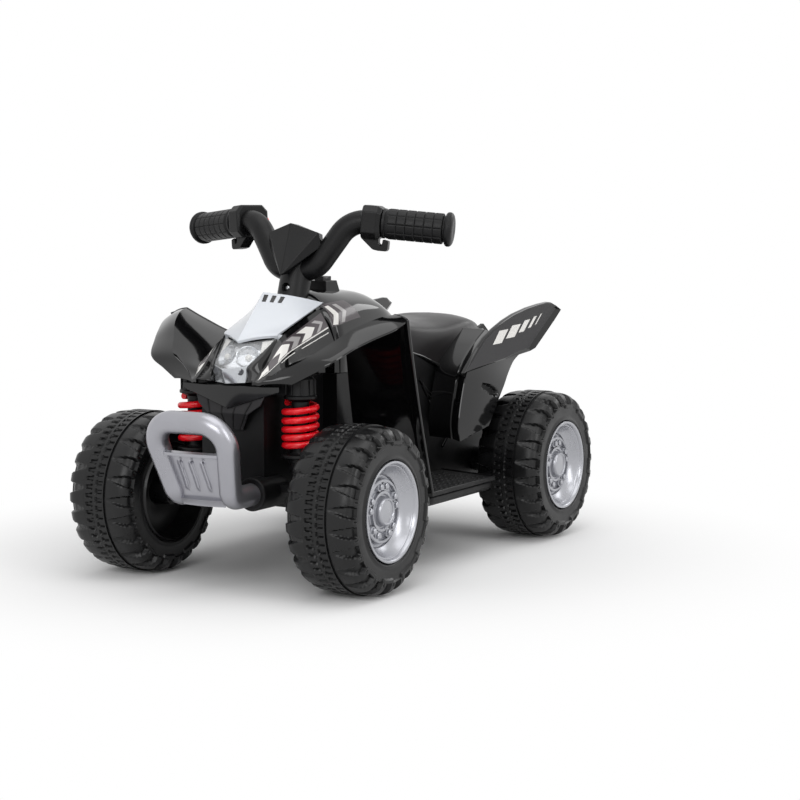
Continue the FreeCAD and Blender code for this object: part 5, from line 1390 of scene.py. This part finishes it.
# Left foot board: (x, y) of its outline, its underside and its thickness, and the first stud
BOARD = ((60.0, 137.0), (142.0, 137.0), (149.4, 144.0), (149.4, 296.0), (144.0, 303.0), (96.0, 316.0),
         (60.0, 328.0))
BOARD_Z = 84.5
BOARD_THICKNESS = 3.4
STUD = ((0.0, 2.5), (0.7, 2.1), (1.0, 1.4), (1.05, 0.0))
STUD_START = (70.0, 148.0)
STUD_STEP = (11.4, 11.6)
STUD_REAR = 296
# Lines along the rim on the board and the rail under it, and the heights of both
BOARD_RIM = ((62, 138), (147.6, 138), (147.6, 301), (96, 315), (62, 326))
BOARD_RIM_Z = 88.2
BOARD_RAIL = ((70, 141), (141, 141), (141, 296), (70, 318))
BOARD_RAIL_Z = 79
# Ribs on the tub's left flank, as (y, z) of their ends, and the frame round its rear wall, as (x, z)
FLANK_X = 57.6
FLANK_RIBS = (((275, 202), (355, 141)), ((283, 194), (335, 138)), ((355, 132), (332, 115)),
              ((150, 205), (262, 196)), ((150, 150), (240, 118)), ((165, 205), (165, 146)),
              ((262, 196), (250, 120)))
TUB_FRAME = ((-44, 78), (44, 78), (44, 204), (-44, 204), (-44, 78))


def board_part():
    """Foot board: thin plate with staggered rows of small anti-slip studs."""
    parts = [prism([(x, y, BOARD_Z) for x, y in BOARD], (0, 0, BOARD_THICKNESS))]
    for i in range(7):
        for k in range(13):
            x = STUD_START[0] + STUD_STEP[0] * i
            y = STUD_START[1] + STUD_STEP[1] * k + (STUD_STEP[1] / 2 if i % 2 else 0.0)
            if y < STUD_REAR:
                parts.append(turned(STUD, (x, y, 87.7), (0, 0, 1), 8))
    return joined(*parts)


class QUAD_OT_seat(bpy.types.Operator):
    """Build the moulded seat and the bead along its skirt."""
    bl_idname = "quad.seat"
    bl_label = "Seat"

    def execute(self, context):
        shell, bead = seat_part()
        make("dressed_seat", shell, "seat", "chassis", ["seat"], sharp=50)
        make("seat_bead", bead, "gloss", "chassis", ())
        return {"FINISHED"}


class QUAD_OT_rear_fenders(bpy.types.Operator):
    """Build the rear side panels, each with a dull black plate of painted shade in its recess, and the wings
    with their faces and printed bars.
    """
    bl_idname = "quad.rear_fenders"
    bl_label = "Rear fenders"

    def execute(self, context):
        panel = panel_part()
        wing, face = wing_part()
        bars = wing_bars()
        recess_shade = recess_shade_plate_part()
        for name, side in SIDES:
            make("dressed_rear_fender_" + name, on_side(panel, side), "gloss", "chassis",
                 ["rear_fender_" + name], sharp=28, wall=3.0, bevel=0.5, up=(side, -0.4, 0))
            make("rear_wing_" + name, on_side(wing, side), "gloss", "chassis", (), sharp=16,
                 bevel=0.5)
            make("wing_face_" + name, on_side(face, side), "satin_grey", "chassis", (),
                 up=(side, 0, 0))
            # A dull black plate in each panel's recess paints the recess's shade
            make("panel_recess_shade_" + name, on_side(recess_shade, side), "satin", "chassis", ())
            make("wing_bars_" + name, on_side(bars, side), "film_white", "chassis", (),
                 up=(side, 0, 0))
        return {"FINISHED"}


class QUAD_OT_boards(bpy.types.Operator):
    """Build the foot boards and the ribs moulded into the tub's flanks and rear wall."""
    bl_idname = "quad.boards"
    bl_label = "Foot boards and flanks"

    def execute(self, context):
        board = board_part()
        rim = tube(rounded_path([(x, y, BOARD_RIM_Z) for x, y in BOARD_RIM], (7, 7, 12), 6), 1.3, 12)
        rail = tube(rounded_path([(x, y, BOARD_RAIL_Z) for x, y in BOARD_RAIL], (12, 12), 8), 6.2, 20)
        edge = joined(rim, rail)
        flank = joined(*[tube([(FLANK_X, y, z) for y, z in ends], 2.4, 12) for ends in FLANK_RIBS])
        wall = [tube(rounded_path([(x, 455.4, z) for x, z in TUB_FRAME], (12, 12, 12), 8), 2.2, 12)]
        wall += [tube([(-36, 455.2, z), (36, 455.2, z)], 1.8, 12) for z in (110, 128, 146)]
        make("tub_rear_ribs", joined(*wall), "satin", "chassis", ())
        for name, side in SIDES:
            make("dressed_foot_board_" + name, on_side(board, side), "tread_plate", "chassis",
                 ["foot_board_" + name], sharp=30, bevel=0.5)
            make("foot_board_rim_" + name, on_side(edge, side), "satin", "chassis", ())
            make("flank_ribs_" + name, on_side(flank, side), "gloss", "chassis", ())
        return {"FINISHED"}


# Nodes that are shown as they are, and their finishes
HARDWARE = {
    "chassis_tray": "satin", "battery_clamp": "satin", "charge_socket": "satin", "battery": "case",
    "gearbox_case": "case", "gearbox_cover": "case", "column_bushes": "nylon", "drive_gear": "nylon",
    "idler_gear": "nylon", "motor_pinion": "nylon", "motor": "zinc", "body_screws": "zinc",
    "axle_nut_front_left": "zinc", "axle_nut_front_right": "zinc", "axle_nuts_rear": "zinc",
    "steering_column": "phosphate", "tie_rod": "phosphate", "rear_axle": "phosphate",
    "knuckle_left": "phosphate", "knuckle_right": "phosphate",
}


class QUAD_OT_hardware(bpy.types.Operator):
    """Give the tray, the drive and the hidden hardware their finishes."""
    bl_idname = "quad.hardware"
    bl_label = "Tray and hardware"

    def execute(self, context):
        for name, finish in HARDWARE.items():
            mesh = frame["nodes"][name].data
            mesh.materials.clear()
            mesh.materials.append(FINISH[finish])
        return {"FINISHED"}


FLOOR_REACH = 12.0
# Distances from the frame's middle, in metres, between which the floor runs out into the white
FLOOR_FADE = (0.22, 0.6)
# Strength of the white world as a light; it looks white all the same
WORLD_LIGHT = 0.5
# Lamps: place and aim in metres, width, height and power
LAMPS = (
    ("lamp_overhead", (0.4, -0.2, 2.2), (0.0, 0.0, 0.1), 1.8, 1.8, 13.0),
    ("lamp_front", (0.7, -2.3, 1.3), (0.0, 0.0, 0.15), 1.5, 1.0, 16.0),
    ("lamp_left", (2.2, -0.6, 1.3), (0.0, 0.0, 0.2), 0.7, 1.6, 11.0),
    ("lamp_rear", (0.9, 2.2, 1.5), (0.0, 0.0, 0.2), 1.6, 0.6, 8.0),
)
# Camera: place and aim in millimetres, focal length and sensor as fitted to the wheels
EYE = (1167.5, -1703.8, 407.2)
TARGET = (60.75, 225.62, 181.29)
FOCAL_LENGTH = 86.18
SENSOR_WIDTH = 36.0
CLIP_END = 50.0


def combined(tree, operation, first, second):
    """Result of a math node with two links."""
    node = add_node(tree, "ShaderNodeMath", {"operation": operation})
    tree.links.new(first, node.inputs[0])
    tree.links.new(second, node.inputs[1])
    return node.outputs["Value"]


def seen_directly(tree):
    """1 for rays from the camera, off polished surfaces and through clear ones, 0 for the rest."""
    path = add_node(tree, "ShaderNodeLightPath").outputs
    seen = combined(tree, "MAXIMUM", path["Is Camera Ray"], path["Is Glossy Ray"])
    return combined(tree, "MAXIMUM", seen, path["Is Transmission Ray"])


def facing(place, aim):
    """Turn of a lamp or camera that looks from a place at its aim."""
    return (Vector(aim) - Vector(place)).to_track_quat("-Z", "Y").to_euler()


def floor_material():
    """White paper: takes the object's shadow near it, and runs out to the white of the studio further off."""
    found = surface("paper_white_matt", "#fafafa",
                    rough=(0.9, 0.03), grain=(20.0, 0.01), cloud=(300.0, 0.004), **{SPECULAR: 0.0})
    tree = found.node_tree
    paper = next(n for n in tree.nodes if n.type == "BSDF_PRINCIPLED")
    place = next(n for n in tree.nodes if n.type == "TEX_COORD").outputs["Object"]
    reach = add_node(tree, "ShaderNodeVectorMath", {"operation": "LENGTH"}, {"Vector": place})
    far = add_node(tree, "ShaderNodeMapRange", {
        "From Min": FLOOR_FADE[0], "From Max": FLOOR_FADE[1], "interpolation_type": "SMOOTHSTEP"},
        {"Value": reach.outputs["Value"]})
    share = combined(tree, "MULTIPLY", far.outputs["Result"], seen_directly(tree))
    white = add_node(tree, "ShaderNodeEmission", {"Color": (1, 1, 1, 1), "Strength": 1.0})
    mixed = add_node(tree, "ShaderNodeMixShader", links={"Fac": share})
    tree.links.new(paper.outputs["BSDF"], mixed.inputs[1])
    tree.links.new(white.outputs["Emission"], mixed.inputs[2])
    ending = next(n for n in tree.nodes if n.type == "OUTPUT_MATERIAL")
    tree.links.new(mixed.outputs["Shader"], ending.inputs["Surface"])
    return found


class QUAD_OT_stage(bpy.types.Operator):
    """Build the studio: white paper floor, white world, four soft lamps and the camera."""
    bl_idname = "quad.stage"
    bl_label = "Studio and camera"

    def execute(self, context):
        scene = context.scene
        scene.view_settings.view_transform = "Standard"
        mesh = bpy.data.meshes.new("studio_floor")
        corners = [(x * FLOOR_REACH, y * FLOOR_REACH, 0) for x, y in ((-1, -1), (1, -1), (1, 1), (-1, 1))]
        mesh.from_pydata(corners, [], [(0, 1, 2, 3)])
        mesh.materials.append(floor_material())
        floor = bpy.data.objects.new("studio_floor", mesh)
        scene.collection.objects.link(floor)
        world = bpy.data.worlds.new("studio_white")
        world.use_nodes = True
        tree = world.node_tree
        tree.nodes.clear()
        level = add_node(tree, "ShaderNodeMapRange", {"To Min": WORLD_LIGHT, "To Max": 1.0},
                         {"Value": seen_directly(tree)})
        sky = add_node(tree, "ShaderNodeBackground", {"Color": (1, 1, 1, 1)},
                       {"Strength": level.outputs["Result"]})
        add_node(tree, "ShaderNodeOutputWorld", links={"Surface": sky.outputs["Background"]})
        scene.world = world
        for name, place, aim, width, height, power in LAMPS:
            lamp = bpy.data.lights.new(name, "AREA")
            lamp.shape = "RECTANGLE"
            lamp.size = width
            lamp.size_y = height
            lamp.energy = power
            obj = bpy.data.objects.new(name, lamp)
            obj.location = place
            obj.rotation_euler = facing(place, aim)
            scene.collection.objects.link(obj)
        lens = bpy.data.cameras.new("camera")
        lens.sensor_fit = "HORIZONTAL"
        lens.sensor_width = SENSOR_WIDTH
        lens.lens = FOCAL_LENGTH
        lens.clip_end = CLIP_END
        camera = bpy.data.objects.new("camera", lens)
        camera.location = to_frame(EYE)
        camera.rotation_euler = facing(to_frame(EYE), to_frame(TARGET))
        scene.collection.objects.link(camera)
        scene.camera = camera
        return {"FINISHED"}


class QUAD_PT_panel(bpy.types.Panel):
    """Shows the sizes and the colours, and a button for each group of pieces."""
    bl_idname = "QUAD_PT_panel"
    bl_label = "Quad Bike"
    bl_space_type = "VIEW_3D"
    bl_region_type = "UI"
    bl_category = "Quad Bike"

    def draw(self, context):
        for group in (context.scene.quad_sizes, context.scene.quad_colours):
            for name in group.bl_rna.properties.keys():
                if name not in ("rna_type", "name"):
                    self.layout.prop(group, name)
        for operator in OPERATORS:
            self.layout.operator(operator.bl_idname)


OPERATORS = (
    QUAD_OT_finishes, QUAD_OT_wheels, QUAD_OT_front_fenders, QUAD_OT_cowl, QUAD_OT_nose, QUAD_OT_grille,
    QUAD_OT_bumper, QUAD_OT_steering, QUAD_OT_suspension, QUAD_OT_seat, QUAD_OT_rear_fenders, QUAD_OT_boards,
    QUAD_OT_hardware, QUAD_OT_stage)
CLASSES = (QuadColours, QuadSizes) + OPERATORS + (QUAD_PT_panel,)


def register():
    for each in CLASSES:
        bpy.utils.register_class(each)
    bpy.types.Scene.quad_sizes = bpy.props.PointerProperty(type=QuadSizes)
    bpy.types.Scene.quad_colours = bpy.props.PointerProperty(type=QuadColours)


def unregister():
    del bpy.types.Scene.quad_colours
    del bpy.types.Scene.quad_sizes
    for each in reversed(CLASSES):
        bpy.utils.unregister_class(each)


def main():
    register()
    bpy.ops.quad.finishes()
    bpy.ops.quad.wheels()
    bpy.ops.quad.front_fenders()
    bpy.ops.quad.cowl()
    bpy.ops.quad.nose()
    bpy.ops.quad.grille()
    bpy.ops.quad.bumper()
    bpy.ops.quad.steering()
    bpy.ops.quad.suspension()
    bpy.ops.quad.seat()
    bpy.ops.quad.rear_fenders()
    bpy.ops.quad.boards()
    bpy.ops.quad.hardware()
    bpy.ops.quad.stage()


if __name__ == "__main__":
    main()
